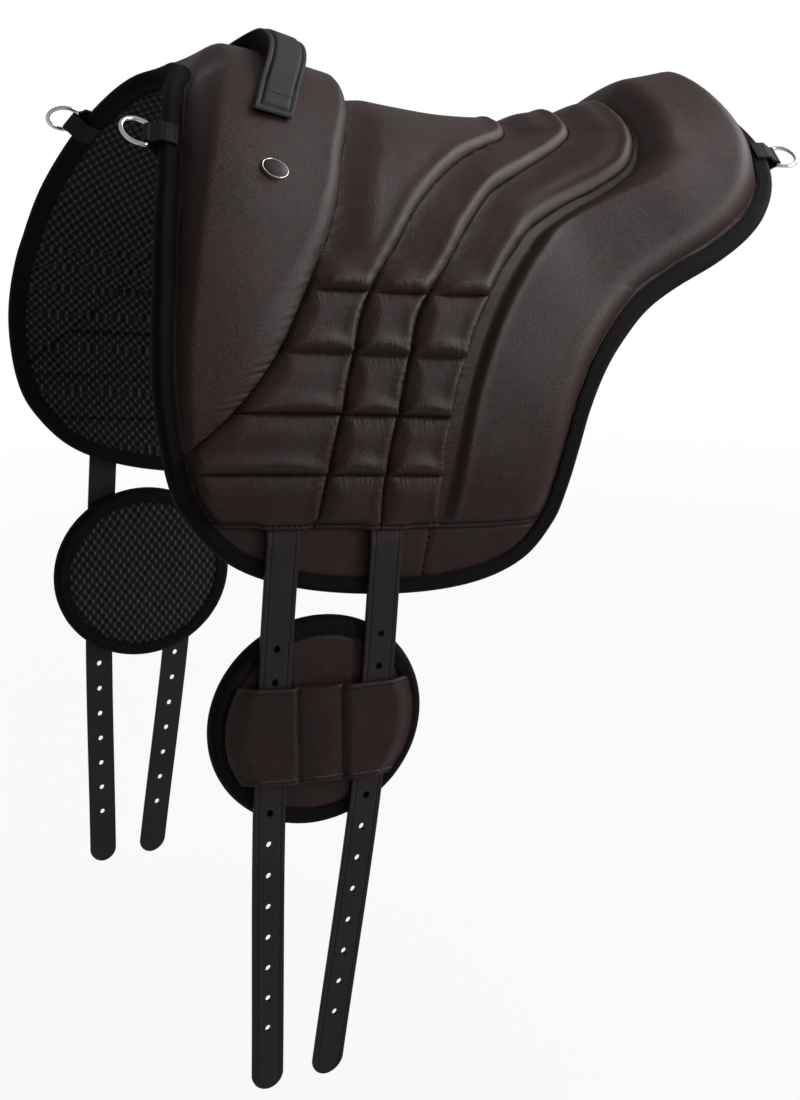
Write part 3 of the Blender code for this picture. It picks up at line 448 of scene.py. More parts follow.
def close_material(flow, colour, roughness, height=None, bump=0.5, distance=0.001, **constants):
    """Puts the finish on a Principled shader; the constants go on its own sockets."""
    sockets = {"Base Color": colour, "Roughness": roughness}
    if height is not None:
        sockets["Normal"] = flow.node("ShaderNodeBump", None,
                                      {"Strength": bump, "Distance": distance, "Height": height})
    sockets.update({name.replace("_", " "): value for name, value in constants.items()})
    shader = flow.node("ShaderNodeBsdfPrincipled", None, sockets)
    flow.node("ShaderNodeOutputMaterial", None, {"Surface": shader})


def cloth_place(flow):
    """The place on a cloth, (along, across) in metres, from the mesh itself."""
    place = flow.node("ShaderNodeAttribute", {"attribute_name": "cloth"}, None, 1)
    parts = flow.node("ShaderNodeSeparateXYZ", None, {0: place})
    return parts, Flow(flow.tree, parts.socket.node.outputs[1])


def object_place(flow):
    return flow.node("ShaderNodeTexCoord", None, None, 3)


def noise(flow, place, scale, detail=2.0):
    return flow.node("ShaderNodeTexNoise", None, {"Vector": place, "Scale": scale, "Detail": detail})


def mesh_fabric():
    material, flow = new_material("spacer_mesh_knit")
    along, across = cloth_place(flow)
    turn = 2.0 * math.pi
    columns = (along * (turn / MESH_EYE_PITCH)).cosine()
    narrow = (columns * columns).step(0.62, 0.97)
    eyes = columns * (across * (turn / MESH_EYE_STEP)).cosine()
    hole = eyes.step(0.12, 0.42)
    ridge = (0.0 - eyes).step(0.25, 0.90) * narrow
    fuzz = noise(flow, object_place(flow), 900.0)
    wear = noise(flow, object_place(flow), 22.0)
    thread = (wear * 0.6 + fuzz * 0.5).mix(colour_of(MESH_THREAD_DARK), colour_of(MESH_THREAD_LIGHT))
    # The ridges of thread between the eyes are painted bright, a painted glint, and the eyes are painted
    # near black, a painted shadow.
    thread_with_painted_glint = (ridge * (0.25 + fuzz)).mix(thread, colour_of(MESH_PAINTED_GLINT))
    colour = hole.mix(thread_with_painted_glint, colour_of(MESH_SHADOW))
    height = (1.0 - hole) + ridge * 0.6 + fuzz * 0.2
    close_material(flow, colour, 0.56 + hole * 0.35 - ridge * 0.16, height, 1.0, 0.0012,
                   Specular_IOR_Level=MESH_SHEEN)
    return material


def grid_mesh(name, over, under, material, cloth=None, sharp=40.0):
    """A closed layer between two tables of points, walled round its rim."""
    rows, wide = over.shape[:2]
    points = np.concatenate([over.reshape(-1, 3), under.reshape(-1, 3)])
    count = rows * wide
    a = (np.arange(rows - 1)[:, None] * wide + np.arange(wide - 1)[None, :]).ravel()
    top = np.column_stack([a, a + 1, a + wide + 1, a + wide])
    bottom = np.column_stack([a + wide, a + wide + 1, a + 1, a]) + count
    rim = list(range(wide)) + [i * wide + wide - 1 for i in range(1, rows)]
    rim += [(rows - 1) * wide + j for j in range(wide - 2, -1, -1)]
    rim += [i * wide for i in range(rows - 2, 0, -1)]
    rim = np.array(rim)
    after = np.roll(rim, -1)
    wall = np.column_stack([after, rim, rim + count, after + count])
    piece = mesh_piece(name, points, np.concatenate([top, bottom, wall]).tolist(), material, sharp)
    if cloth is not None:
        spread_cloth(piece, np.concatenate([cloth.reshape(-1, 2)] * 2))
    return piece


def mesh_piece(name, points, faces, material, sharp=40.0):
    mesh = bpy.data.meshes.new(name)
    mesh.from_pydata(np.asarray(points).tolist(), [], faces)
    mesh.update()
    mesh.materials.append(material)
    mesh.shade_smooth()
    mesh.set_sharp_from_angle(angle=math.radians(sharp))
    piece = bpy.data.objects.new(name, mesh)
    bpy.context.scene.collection.objects.link(piece)
    return piece


def spread_cloth(piece, places):
    """Keeps each point's place on its cloth, in metres, with the mesh."""
    layer = piece.data.attributes.new("cloth", "FLOAT_VECTOR", "POINT")
    layer.data.foreach_set("vector", np.column_stack([places, np.zeros(len(places))]).ravel())


def belongs(piece, body, slot, *nodes):
    """Hangs a piece on the body it rides on and hides the solids it stands for; the slot is not used."""
    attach(piece, body)
    if nodes:
        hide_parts(*nodes)
    return piece


def across_strip(front, rear, count, bunch=0.5):
    """Columns from front to rear for each row, closer together near both ends."""
    share = np.linspace(0.0, 1.0, count)
    share = share + bunch * ((1.0 - np.cos(math.pi * share)) / 2 - share)
    return front[:, None] + (rear - front)[:, None] * share[None, :]


def laid_out(rows, front, rear, count, bunch=0.5):
    """Tables of the columns and levels of a layer between two edges."""
    columns = across_strip(front, rear, count, bunch)
    return columns, np.broadcast_to(rows[:, None], columns.shape)


def whole_width(rows, count):
    """The same for a layer that spans the pad from its front edge to its rear one."""
    return laid_out(rows, edge_x(rows, LAYER_INSET, False), edge_x(rows, LAYER_INSET, True), count, 0.0)


def lining_channels(x, level):
    """How far the stitching draws the mesh in, from 0 to 1."""
    down = np.abs(level)
    size = back_frame(x, np.maximum(down, LEVEL_STEP))[1]
    rows = np.abs(down - np.clip(np.round(down), FIRST_ROW_LEVEL, LAST_ROW_LEVEL)) * size
    pommel = seam_distance(POMMEL_SEAM, x, level)
    rows = np.where(down > LAST_ROW_LEVEL - 0.5, rows, np.hypot(rows, np.minimum(pommel, 0.0)))
    cantle = np.abs(seam_distance(CANTLE_SEAM, x, level))
    nearest = np.minimum(np.minimum(rows, np.abs(pommel)), cantle)
    return 1.0 - roll(nearest, LINING_CHANNEL_WIDTH)


mesh_knit = mesh_fabric()
downs = np.concatenate([np.linspace(SPINE_STRIP_LEVEL, FIRST_ROW_LEVEL, 70, endpoint=False),
                        np.linspace(FIRST_ROW_LEVEL, LINING_LAST_LEVEL, 170)])
for side, word in SIDES:
    rows = np.sort(side * downs)
    columns, table = whole_width(rows, LINING_COLUMNS)
    drawn = lining_channels(columns, table) * LINING_CHANNEL
    uneven = unevenness(back_point(columns, table), 0.05) * LINING_UNEVENNESS
    over = pad_point(columns, table, LINING_THICKNESS - drawn * 0.3)
    under = pad_point(columns, table, drawn + uneven)
    cloth = np.stack([columns, level_length(columns, table)], axis=-1)
    lining = grid_mesh("mesh_lining_" + word, over, under, mesh_knit, cloth)
    belongs(lining, "pad", "mesh", "lining_" + word)

rows = both_sides(np.linspace(0.0, SPINE_STRIP_LEVEL - 0.01, 12))
columns, table = whole_width(rows, LINING_COLUMNS)
arch = SPINE_STRIP_RISE * (1.0 - (table / SPINE_STRIP_LEVEL) ** 4)
spine = grid_mesh("mesh_spine_strip", pad_point(columns, table, LINING_THICKNESS),
                  pad_point(columns, table, arch), mesh_knit,
                  np.stack([columns, level_length(columns, table)], axis=-1))
belongs(spine, "pad", "mesh", "spine_strip")


# The leather covers: a pommel panel, three seat strips that lie like shingles, and a cantle panel,
# cut from soft pebbled hide over foam and sewn down along seams and rows, so that they pillow.
LAYER_GAP = 0.0003
SEAM_GAP = 0.0006
BASE_FOAM_TOP = 0.0068
CARRIER_BOTTOM = 0.0078
CARRIER_TOP = 0.0092
TOP_FOAM_BOTTOM = 0.0097
COVER_THICKNESS = 0.0022
EDGE_HEIGHT = CARRIER_BOTTOM + COVER_THICKNESS
BINDING_LEG = 0.014
BINDING_MARGIN = 0.0020
POMMEL_TIP_LEVEL = 7.0
HEM_SEAM_LEVEL = 0.03
POMMEL_HEIGHT = ((0.0, 0.0430), (1.0, 0.0405), (2.0, 0.0355), (3.0, 0.0300), (4.0, 0.0240),
                 (5.0, 0.0205), (6.0, 0.0180), (7.0, 0.0140))
SEAT_HEIGHT = ((0.0, 0.0300), (1.0, 0.0282), (2.0, 0.0245), (3.0, 0.0212), (4.0, 0.0202),
               (5.0, 0.0200), (8.0, 0.0196))
CANTLE_HEIGHT = ((0.0, 0.0435), (1.0, 0.0400), (2.0, 0.0320), (3.0, 0.0245), (4.0, 0.0205),
                 (5.0, 0.0195), (8.0, 0.0190))
BORDER_FULLNESS = 2.5
POMMEL_ROLL = 0.022
POMMEL_DOME = 0.080
DOME_SHARE = 0.26
CANTLE_ROLL = 0.022
CANTLE_FULLNESS = 3.0
POMMEL_STEP_WIDTH = ((0.0, 0.011), (2.5, 0.014), (3.5, 0.017), (4.5, 0.026), (6.0, 0.022), (7.0, 0.012))
SEAM_DEPTH = 0.0052
SEAM_ROLL = 0.0070
SEAM_LIP = 0.0011
SEAM_TUCK = 0.032
CELL_RISE = 0.0150
CELL_DROP = 0.0056
CELL_FULLNESS = 1.8
CELL_UNEVENNESS = 0.0005
RIDGE_DEEPER = 0.15
SEAM_LIP_WIDTH = 0.0048
ROW_DROP = 0.0070
ROW_LIP = 0.0034
ROW_RISE = 0.0150
PINCH = 0.22
BROW_HEIGHT = 0.0028
BROW_REACH = 0.0058
GRID_START_LEVEL = 3.35
GRID_FULL_LEVEL = 4.0
CANTLE_GROOVE = ((0.0, 0.034), (1.0, 0.034), (2.0, 0.030), (2.5, 0.022), (4.0, 0.018), (7.0, 0.018),
                 (8.0, 0.014))
CANTLE_SOFT_LEVEL = 1.9
CANTLE_FLOOR = ((0.0, 0.08), (1.0, 0.10), (2.0, 0.20), (2.5, 0.35), (4.0, 0.50), (7.0, 0.50), (8.0, 0.3))
CANTLE_LIP = 0.0006
CANTLE_LIP_SHARE = 0.22
HEM_COVER_HEIGHT = 0.0120
HEM_FALL = 0.30
HEM_BUMP = 0.0045
HEM_BUMP_FADE = 0.011
HEM_BUMP_START = 0.32
HEM_BUMP_RISE = 0.28
HEM_FINE_LEVEL = 0.14
UPPER_ROWS = 80
QUILTED_ROWS = 164
HEM_ROWS = 18
POMMEL_ROWS_PER_LEVEL = 36
POMMEL_COLUMNS = 84
STRIP_TOP_COLUMNS = 60
CANTLE_COLUMNS = 88
HEM_BEAD = 0.0007
HEM_BEAD_SET = 0.0012
HEM_STITCH_SET = 0.0034
HEM_DRAW = 0.0006
HEM_DRAW_WIDTH = 0.0010
HEM_ROUND = 0.0009
GATHER_DEPTH = 0.00022
POMMEL_GATHER_REACH = 0.010
SEAM_GATHER_REACH = 0.007
ROW_GATHER_REACH = 0.006
QUILT_PUFF = 0.0018
SEAM_CUT = 0.0013
SEAM_CUT_WIDTH = 0.0020
GATHER_PITCH = 0.0062
COVER_UNEVENNESS = 0.0006
POMMEL_SWELL_LENGTH = 0.075
CANTLE_SWELL_LENGTH = 0.07
CELL_SWELL_LENGTH = 0.05
CANTLE_SOFT_FULLNESS = 2.4
LEATHER_SHADE = (50, 33, 32)
LEATHER_DARK = (39, 25, 24)
# The pale colour is for wear and a painted sheen on the raised creases.
LEATHER_PALE = (62, 45, 44)
GRAIN_SCALE = 780.0
FRONT_STRAP_X = (-0.244, -0.256, -0.266)
REAR_STRAP_X = (-0.163, -0.174, -0.217)
STRAP_WIDTH = 0.0254


def leather(name, dark, middle, pale, roughness=0.38, grain=0.38, pebbles=GRAIN_SCALE):
    """Soft hide: pebbles with painted shade in the valleys between, broad tone changes, wear and a painted
    sheen.
    """
    material, flow = new_material(name)
    place = object_place(flow)
    bend = flow.node("ShaderNodeTexNoise", None, {"Vector": place, "Scale": 260.0, "Detail": 1.0}, 1)
    moved = flow.node("ShaderNodeVectorMath", {"operation": "MULTIPLY_ADD"},
                      {0: bend, 1: (0.0011, 0.0011, 0.0011), 2: place})
    pebble = flow.node("ShaderNodeTexVoronoi", {"feature": "DISTANCE_TO_EDGE"},
                       {"Vector": moved, "Scale": pebbles})
    pebble = pebble.step(0.0, 0.34)
    pores = noise(flow, place, 2600.0)
    creases = noise(flow, place, 95.0, 3.0)
    broad = noise(flow, place, 9.0, 3.0).step(0.32, 0.68)
    tone = broad.mix(colour_of(dark), colour_of(middle))
    # The raised creases are paler: partly wear, partly a painted sheen.
    wear_and_painted_sheen = (creases.step(0.5, 0.72) * 0.5).mix(tone, colour_of(pale))
    # The valleys between the pebbles are painted darker, as painted shade.
    colour = (0.35 + pebble * 0.65).mix(colour_of(dark), wear_and_painted_sheen)
    height = pebble * 0.7 + pores * 0.2 + creases * 1.1
    close_material(flow, colour, roughness + 0.14 * creases - 0.07 * pebble, height, grain, 0.00042,
                   Specular_IOR_Level=0.17)
    return material


def from_border(distance, width, height, fullness=BORDER_FULLNESS, dome=None):
    """Brings a cover down to the tape: a steep side wall and, on a full panel, a wide dome over it."""
    inside = distance - BINDING_LEG - BINDING_MARGIN
    share = 1.0 - (1.0 - np.clip(inside / width, 0.0, 1.0)) ** fullness
    if dome is not None:
        share = share * (1.0 - DOME_SHARE * (1.0 - np.clip(inside / dome, 0.0, 1.0)) ** 2)
    return EDGE_HEIGHT + (height - EDGE_HEIGHT) * share


def strap_bumps(x, level):
    """Where the hem passes over the tops of the girth straps, from 0 to 1."""
    near_strap = np.minimum(np.abs(x - FRONT_STRAP_X[0]), np.abs(x - REAR_STRAP_X[0]))
    across = 1.0 - ease((near_strap - STRAP_WIDTH / 2) / HEM_BUMP_FADE)
    return across * ease((np.abs(level) - LAST_ROW_LEVEL + HEM_BUMP_START) / HEM_BUMP_RISE)


def bell(distance, width):
    return np.exp(-(distance / width) ** 2)


def at_hem(height, x, level):
    """Brings the padding down to the folded hem, which ends a little proud of the strip under it."""
    down = np.abs(level)
    fall = ease((down - LAST_ROW_LEVEL + HEM_FALL) / HEM_FALL)
    height = height + (HEM_COVER_HEIGHT - height) * fall
    height = height + HEM_BUMP * strap_bumps(x, level)
    from_end = (LAST_ROW_LEVEL - HEM_SEAM_LEVEL - down) * QUILT_ROW
    height = height + HEM_BEAD * bell(from_end - HEM_BEAD_SET, HEM_BEAD_SET)
    height = height - HEM_DRAW * bell(from_end - HEM_STITCH_SET, HEM_DRAW_WIDTH)
    return height - HEM_ROUND * (1.0 - roll(from_end + 0.0001, HEM_ROUND))


def gathers(along, distance, reach):
    """Small folds across a line of stitches, which die away from it; along is the way along the line."""
    turns = along * (2.0 * math.pi / GATHER_PITCH)
    folds = np.sin(turns + 2.1 * np.sin(turns * 0.37))
    folds = folds + 0.6 * np.sin(turns * 1.71 + 1.3 * np.sin(turns * 0.23))
    return GATHER_DEPTH * folds * bell(distance, reach)


def bow(share):
    """0 at both ends of a stretch and 1 at its middle."""
    return np.sin(math.pi * np.clip(share, 0.0, 1.0)) ** 0.8


def pommel_top(x, level):
    down = np.abs(level)
    full = curve(POMMEL_HEIGHT, down)
    valley = curve(SEAT_HEIGHT, down) - SEAM_DEPTH
    behind = -seam_distance(POMMEL_SEAM, x, level)
    height = valley + (full - valley) * roll(behind, curve(POMMEL_STEP_WIDTH, down))
    points = back_point(x, level)
    height = height + unevenness(points, POMMEL_SWELL_LENGTH) * COVER_UNEVENNESS * roll(behind, 0.03)
    height = height + gathers(points[..., 2] * 1.2 + points[..., 1], behind, POMMEL_GATHER_REACH)
    return from_border(edge_distance(x, level), POMMEL_ROLL * full / POMMEL_HEIGHT[0][1], height,
                       dome=POMMEL_DOME)


def swelling(distance, width):
    """0 at a seam and 1 from the given width on, as padding rises beside it."""
    return 1.0 - (1.0 - np.clip(distance / width, 0.0, 1.0)) ** CELL_FULLNESS


def row_distances(x, level):
    """How far places are above the next sewn row, and how far below the last one."""
    down = np.abs(level)
    size = back_frame(x, np.maximum(down, LEVEL_STEP))[1]
    above = np.where(down > LAST_ROW_LEVEL - 1, 1.0, np.maximum(np.ceil(down), FIRST_ROW_LEVEL) - down)
    below = np.where(down < FIRST_ROW_LEVEL, 1.0, down - np.minimum(np.floor(down), LAST_ROW_LEVEL - 1))
    return above * size, below * size


def cell_rows(x, level, share):
    """0 on the sewn rows and 1 between them; the drawn-in band is narrow where a row meets a seam."""
    above, below = row_distances(x, level)
    wide = PINCH + (1.0 - PINCH) * bow(share)
    under = 0.5 * roll(below, ROW_LIP * wide) + 0.5 * swelling(below, ROW_RISE)
    return roll(above, ROW_DROP * wide) * under


def brows(x, level, share):
    """The ridge that each sewn row pushes up along the cell above it."""
    above = row_distances(x, level)[0]
    wide = PINCH + (1.0 - PINCH) * bow(share)
    return BROW_HEIGHT * bow(share) * bell(above - ROW_DROP * wide, BROW_REACH)


def strip_top(x, level, front_seam, rear_seam):
    """A seat strip: low behind the seam in front and full at its rear edge, then cells of quilting."""
    down = np.abs(level)
    full = curve(SEAT_HEIGHT, down)
    quilted = ease((down - GRID_START_LEVEL) / (GRID_FULL_LEVEL - GRID_START_LEVEL))
    behind = seam_distance(front_seam, x, level)
    ahead = -seam_distance(rear_seam, x, level)
    share = behind / np.maximum(behind + ahead, X_STEP)
    between_rows = bow(np.where(down > FIRST_ROW_LEVEL, down % 1.0, 0.5))
    wide = PINCH + (1.0 - PINCH) * between_rows
    rise = ease(behind / SEAM_TUCK) * (1.0 - quilted) + swelling(behind, CELL_RISE * wide) * quilted
    crest_width = SEAM_ROLL + (CELL_DROP * wide - SEAM_ROLL) * quilted
    crest = roll(ahead, crest_width)
    cell = rise * crest * cell_rows(x, level, share)
    depth = SEAM_DEPTH * (1.0 + RIDGE_DEEPER * (1.0 - quilted))
    points = back_point(x, level)
    lip = SEAM_LIP * bell(ahead - crest_width, SEAM_LIP_WIDTH)
    lip = lip * (1.0 - quilted * (1.0 - 0.8 * between_rows))
    height = full + QUILT_PUFF * quilted - depth * (1.0 - cell) + lip
    height = height + brows(x, level, share) * crest * rise
    height = height - SEAM_CUT * bell(behind, SEAM_CUT_WIDTH) * quilted
    height = height + unevenness(points, CELL_SWELL_LENGTH) * CELL_UNEVENNESS * cell
    along = points[..., 2] + 0.6 * points[..., 1]
    height = height + gathers(along, np.minimum(behind, ahead), SEAM_GATHER_REACH)
    row = np.clip(np.round(down), FIRST_ROW_LEVEL, LAST_ROW_LEVEL)
    height = height + gathers(x, (down - row) * QUILT_ROW, ROW_GATHER_REACH) * cell
    return from_border(edge_distance(x, level), SEAM_ROLL, at_hem(height, x, level))


def cantle_top(x, level):
    """The cantle: a hollow behind its seam, a soft shoulder, then a full cushion down to the tape."""
    down = np.abs(level)
    full = curve(CANTLE_HEIGHT, down)
    valley = curve(SEAT_HEIGHT, down) - SEAM_DEPTH
    behind = seam_distance(CANTLE_SEAM, x, level)
    groove = behind / curve(CANTLE_GROOVE, down)
    floor_share = curve(CANTLE_FLOOR, down)
    climbed = (groove - floor_share) / (1.0 - floor_share)
    soft = 1.0 - ease(down - CANTLE_SOFT_LEVEL)
    dome = 1.0 - (1.0 - np.clip(climbed, 0.0, 1.0)) ** CANTLE_SOFT_FULLNESS
    rise = ease(climbed) * (1.0 - soft) + dome * soft
    points = back_point(x, level)
    height = valley + (full - valley) * rise
    height = height + CANTLE_LIP * (1.0 - soft) * bell(groove - 1.0, CANTLE_LIP_SHARE)
    height = height + unevenness(points, CANTLE_SWELL_LENGTH) * COVER_UNEVENNESS * rise
    height = height + gathers(points[..., 2] + 0.6 * points[..., 1], behind, ROW_GATHER_REACH)
    return from_border(edge_distance(x, level), CANTLE_ROLL, at_hem(height, x, level), CANTLE_FULLNESS)


def pommel_edge(level):
    """The pommel seam, which runs out into the front edge."""
    return np.maximum(seam_at(POMMEL_SEAM, level), edge_x(level, LAYER_INSET, False) + 4 * SEAM_GAP)


def cover_rows(last):
    """Rows of points from the ridge down, closer together where the quilting is."""
    upper = np.linspace(0.0, GRID_START_LEVEL, UPPER_ROWS, endpoint=False)
    if last < LAST_ROW_LEVEL - 0.5:
        count = 1 + int((last - GRID_START_LEVEL) * POMMEL_ROWS_PER_LEVEL)
        return np.concatenate([upper, np.linspace(GRID_START_LEVEL, last, count)])
    lower = np.linspace(GRID_START_LEVEL, last - HEM_FINE_LEVEL, QUILTED_ROWS, endpoint=False)
    return np.concatenate([upper, lower, np.linspace(last - HEM_FINE_LEVEL, last, HEM_ROWS)])


def cover(name, node, last, front, rear, count, top, material):
    downs = cover_rows(last)
    columns, table = laid_out(downs, front(downs), rear(downs), count)
    heights = mirrored(top(columns, table))
    columns = mirrored(columns)
    rows = np.broadcast_to(both_sides(downs)[:, None], columns.shape)
    over = pad_point(columns, rows, heights)
    under = pad_point(columns, rows, heights - COVER_THICKNESS)
    piece = grid_mesh(name, over, under, material)
    belongs(piece, "pad", "leather", node)


hide = leather("brown_pebbled_hide", LEATHER_DARK, LEATHER_SHADE, LEATHER_PALE)
seams = (POMMEL_SEAM, FRONT_SEAM, MIDDLE_SEAM, CANTLE_SEAM)
hem_level = LAST_ROW_LEVEL - HEM_SEAM_LEVEL
cover("pommel_cover", "pommel_panel", POMMEL_TIP_LEVEL, lambda level: edge_x(level, LAYER_INSET, False),
      lambda level: pommel_edge(level) - SEAM_GAP / 2, POMMEL_COLUMNS, pommel_top, hide)
strip_tops = [functools.partial(strip_top, front_seam=seams[k], rear_seam=seams[k + 1]) for k in range(3)]
for k, word in enumerate(("front", "middle", "rear")):
    def strip_front(level, k=k):
        return (pommel_edge(level) if k == 0 else seam_at(seams[k], level)) + SEAM_GAP / 2

    def strip_rear(level, k=k):
        return seam_at(seams[k + 1], level) - SEAM_GAP / 2

    cover("seat_cover_" + word, "seat_panel_" + word, hem_level, strip_front, strip_rear,
          STRIP_TOP_COLUMNS, strip_tops[k], hide)
cover("cantle_cover", "cantle_panel", hem_level, lambda level: seam_at(CANTLE_SEAM, level) + SEAM_GAP / 2,
      lambda level: edge_x(level, LAYER_INSET, True), CANTLE_COLUMNS, cantle_top, hide)

STRIP_START_LEVEL = 7.90
STRIP_LAST_LEVEL = 9.05
STRIP_COLUMNS = 120
STRIP_TUCK = 0.0006
STRIP_TUCK_RISE = 0.06
STRIP_UNEVENNESS = 0.0002
STRIP_JOIN_DEPTH = 0.0014
STRIP_JOIN_WIDTH = 0.0016
downs = np.linspace(STRIP_START_LEVEL, STRIP_LAST_LEVEL, 40)
for side, word in SIDES:
    rows = np.sort(side * downs)
    columns, table = whole_width(rows, STRIP_COLUMNS)
    tucked = STRIP_TUCK * (1.0 - ease((np.abs(table) - LAST_ROW_LEVEL) / STRIP_TUCK_RISE))
    join = STRIP_JOIN_DEPTH * bell(seam_distance(CANTLE_SEAM, columns, table), STRIP_JOIN_WIDTH)
    swell = unevenness(back_point(columns, table), 0.04) * STRIP_UNEVENNESS
    over = pad_point(columns, table, EDGE_HEIGHT - tucked - join + swell)
    strip = grid_mesh("billet_strip_cover_" + word, over,
                      pad_point(columns, table, CARRIER_BOTTOM), hide)
    belongs(strip, "pad", "leather", "billet_strip_" + word)


# The foam inside: one sheet over the whole pad, and shaped blocks that fill pommel, seat and
# cantle. It is cut from grey closed-cell foam and only glued and sewn in place under the covers.
BASE_FOAM_BOTTOM = LINING_THICKNESS + LAYER_GAP
FOAM_INSET = 0.038
FOAM_END_LEVEL = 7.4
POMMEL_FOAM_END_LEVEL = 5.0
FOAM_COLUMNS = 40
FOAM_DARK = (60, 60, 63)
FOAM_SHADE = (92, 92, 96)
FOAM_TAPE_GAP = 0.004
TOP_FOAM_LEAST = 0.0006


def foam_material():
    material, flow = new_material("grey_closed_cell_foam")
    cells = flow.node("ShaderNodeTexVoronoi", None, {"Vector": object_place(flow), "Scale": 700.0})
    mottle = noise(flow, object_place(flow), 40.0)
    # The pits in the middle of the foam's cells are painted darker, as painted shade.
    colour = (cells.step(0.1, 0.6) * 0.6 + mottle * 0.4).mix(colour_of(FOAM_DARK), colour_of(FOAM_SHADE))
    close_material(flow, colour, 0.85 + 0.1 * mottle, cells, 0.5, 0.0006)
    return material


def under_cover(top):
    """The underside of a cover, as a function of the place, and never lower than a thin foam's top."""
    lowest = TOP_FOAM_BOTTOM + TOP_FOAM_LEAST
    return lambda x, level: np.maximum(top(x, level) - COVER_THICKNESS - LAYER_GAP, lowest)


def seat_floor(x, level):
    valley = curve(SEAT_HEIGHT, np.abs(level)) - SEAM_DEPTH * (1.0 + RIDGE_DEEPER) - 2 * GATHER_DEPTH
    return valley - COVER_THICKNESS - 4 * LAYER_GAP


foam = foam_material()
foam_rows = both_sides(np.linspace(0.0, LINING_LAST_LEVEL, 60))
top_foam_inset = BINDING_LEG + BINDING_MARGIN + FOAM_TAPE_GAP
top_foam_rows = both_sides(np.linspace(0.0, FOAM_END_LEVEL, 60))
blocks = (
    ("foam_sheet", "base_foam", foam_rows, lambda level: edge_x(level, LAYER_INSET, False),
     lambda level: edge_x(level, LAYER_INSET, True), lambda x, level: BASE_FOAM_TOP, BASE_FOAM_BOTTOM),
    ("foam_pommel", "pommel_foam", both_sides(np.linspace(0.0, POMMEL_FOAM_END_LEVEL, 50)),
     lambda level: edge_x(level, top_foam_inset, False), lambda level: pommel_edge(level) - 3 * SEAM_GAP,
     under_cover(pommel_top), TOP_FOAM_BOTTOM),
    ("foam_seat", "seat_foam", top_foam_rows,
     lambda level: np.maximum(seam_at(POMMEL_SEAM, level) + 2 * SEAM_GAP, edge_x(level, FOAM_INSET, False)),
     lambda level: seam_at(CANTLE_SEAM, level) - 2 * SEAM_GAP, seat_floor, TOP_FOAM_BOTTOM),
    ("foam_cantle", "cantle_foam", top_foam_rows, lambda level: seam_at(CANTLE_SEAM, level) + 2 * SEAM_GAP,
     lambda level: edge_x(level, top_foam_inset, True), under_cover(cantle_top), TOP_FOAM_BOTTOM))
for name, node, rows, front, rear, top, bottom in blocks:
    columns, table = laid_out(rows, front(rows), rear(rows), FOAM_COLUMNS)
    piece = grid_mesh(name, pad_point(columns, table, top(columns, table)),
                      pad_point(columns, table, bottom), foam)
    belongs(piece, "pad", "foam", node)


# The two webbing straps that lie over the foam sheet from one side's girth straps to the other's.
# They are flat black nylon and carry the girth's pull across the pad, unseen under the leather.
CARRIER_WIDTH = 0.038
WEBBING_PITCH = 0.0016
PICKS_TO_RIBS = 0.8
WEBBING_DARK = (8, 7, 7)
WEBBING_LIGHT = (27, 24, 24)
WEBBING_SHEEN = 0.3
FRONT_CARRIER_X = -0.205
REAR_CARRIER_X = -0.150


def webbing_material():
    material, flow = new_material("black_nylon_webbing")
    along, across = cloth_place(flow)
    turn = 2.0 * math.pi / WEBBING_PITCH
    ribs = (across * turn).sine() * 0.5 + 0.5
    picks = (along * (turn * PICKS_TO_RIBS)).sine() * 0.5 + 0.5
    fuzz = noise(flow, object_place(flow), 1500.0)
    weave = ribs * 0.6 + picks * 0.4
    # The crests of the ribs and picks are painted lighter and the hollows between them darker, as painted
    # light and shade.
    colour = (weave * 0.7 + fuzz * 0.3).mix(colour_of(WEBBING_DARK), colour_of(WEBBING_LIGHT))
    close_material(flow, colour, 0.72 + 0.15 * fuzz, weave + fuzz * 0.3, 0.6, 0.0004,
                   Specular_IOR_Level=WEBBING_SHEEN)
    return material


webbing = webbing_material()
for word, top_x, strap_x in (("front", FRONT_CARRIER_X, FRONT_STRAP_X[0]),
                             ("rear", REAR_CARRIER_X, REAR_STRAP_X[0])):
    rows = both_sides(np.linspace(0.0, LAST_ROW_LEVEL - 2 * HEM_SEAM_LEVEL, 80))
    middles = top_x + (strap_x - top_x) * np.abs(rows) / LAST_ROW_LEVEL
    columns, table = laid_out(rows, middles - CARRIER_WIDTH / 2, middles + CARRIER_WIDTH / 2, 12, 0.0)
    cloth = np.stack([level_length(columns, table), columns - middles[:, None]], axis=-1)
    carrier = grid_mesh("carrier_webbing_" + word, pad_point(columns, table, CARRIER_TOP),
                        pad_point(columns, table, CARRIER_BOTTOM), webbing, cloth)
    belongs(carrier, "pad", "webbing", "billet_carrier_" + word)


# The tape that binds the edge of all the layers: a black woven tape folded over the rim and sewn
# through near the ends of its two legs, running in one piece round the whole pad.
BINDING_THICKNESS = 0.0014
BINDING_FIT = 0.0002
BINDING_STATION = 0.0035
TAPE_RIB = 0.0013
TAPE_DARK = (8, 7, 7)
TAPE_LIGHT = (20, 17, 17)
TAPE_SHEEN = 0.09
TAPE_WAVE = 0.035
TAPE_RIPPLE = 0.00012
FOLD_BULGE = 0.75
FOLD_ROUND = 0.0004


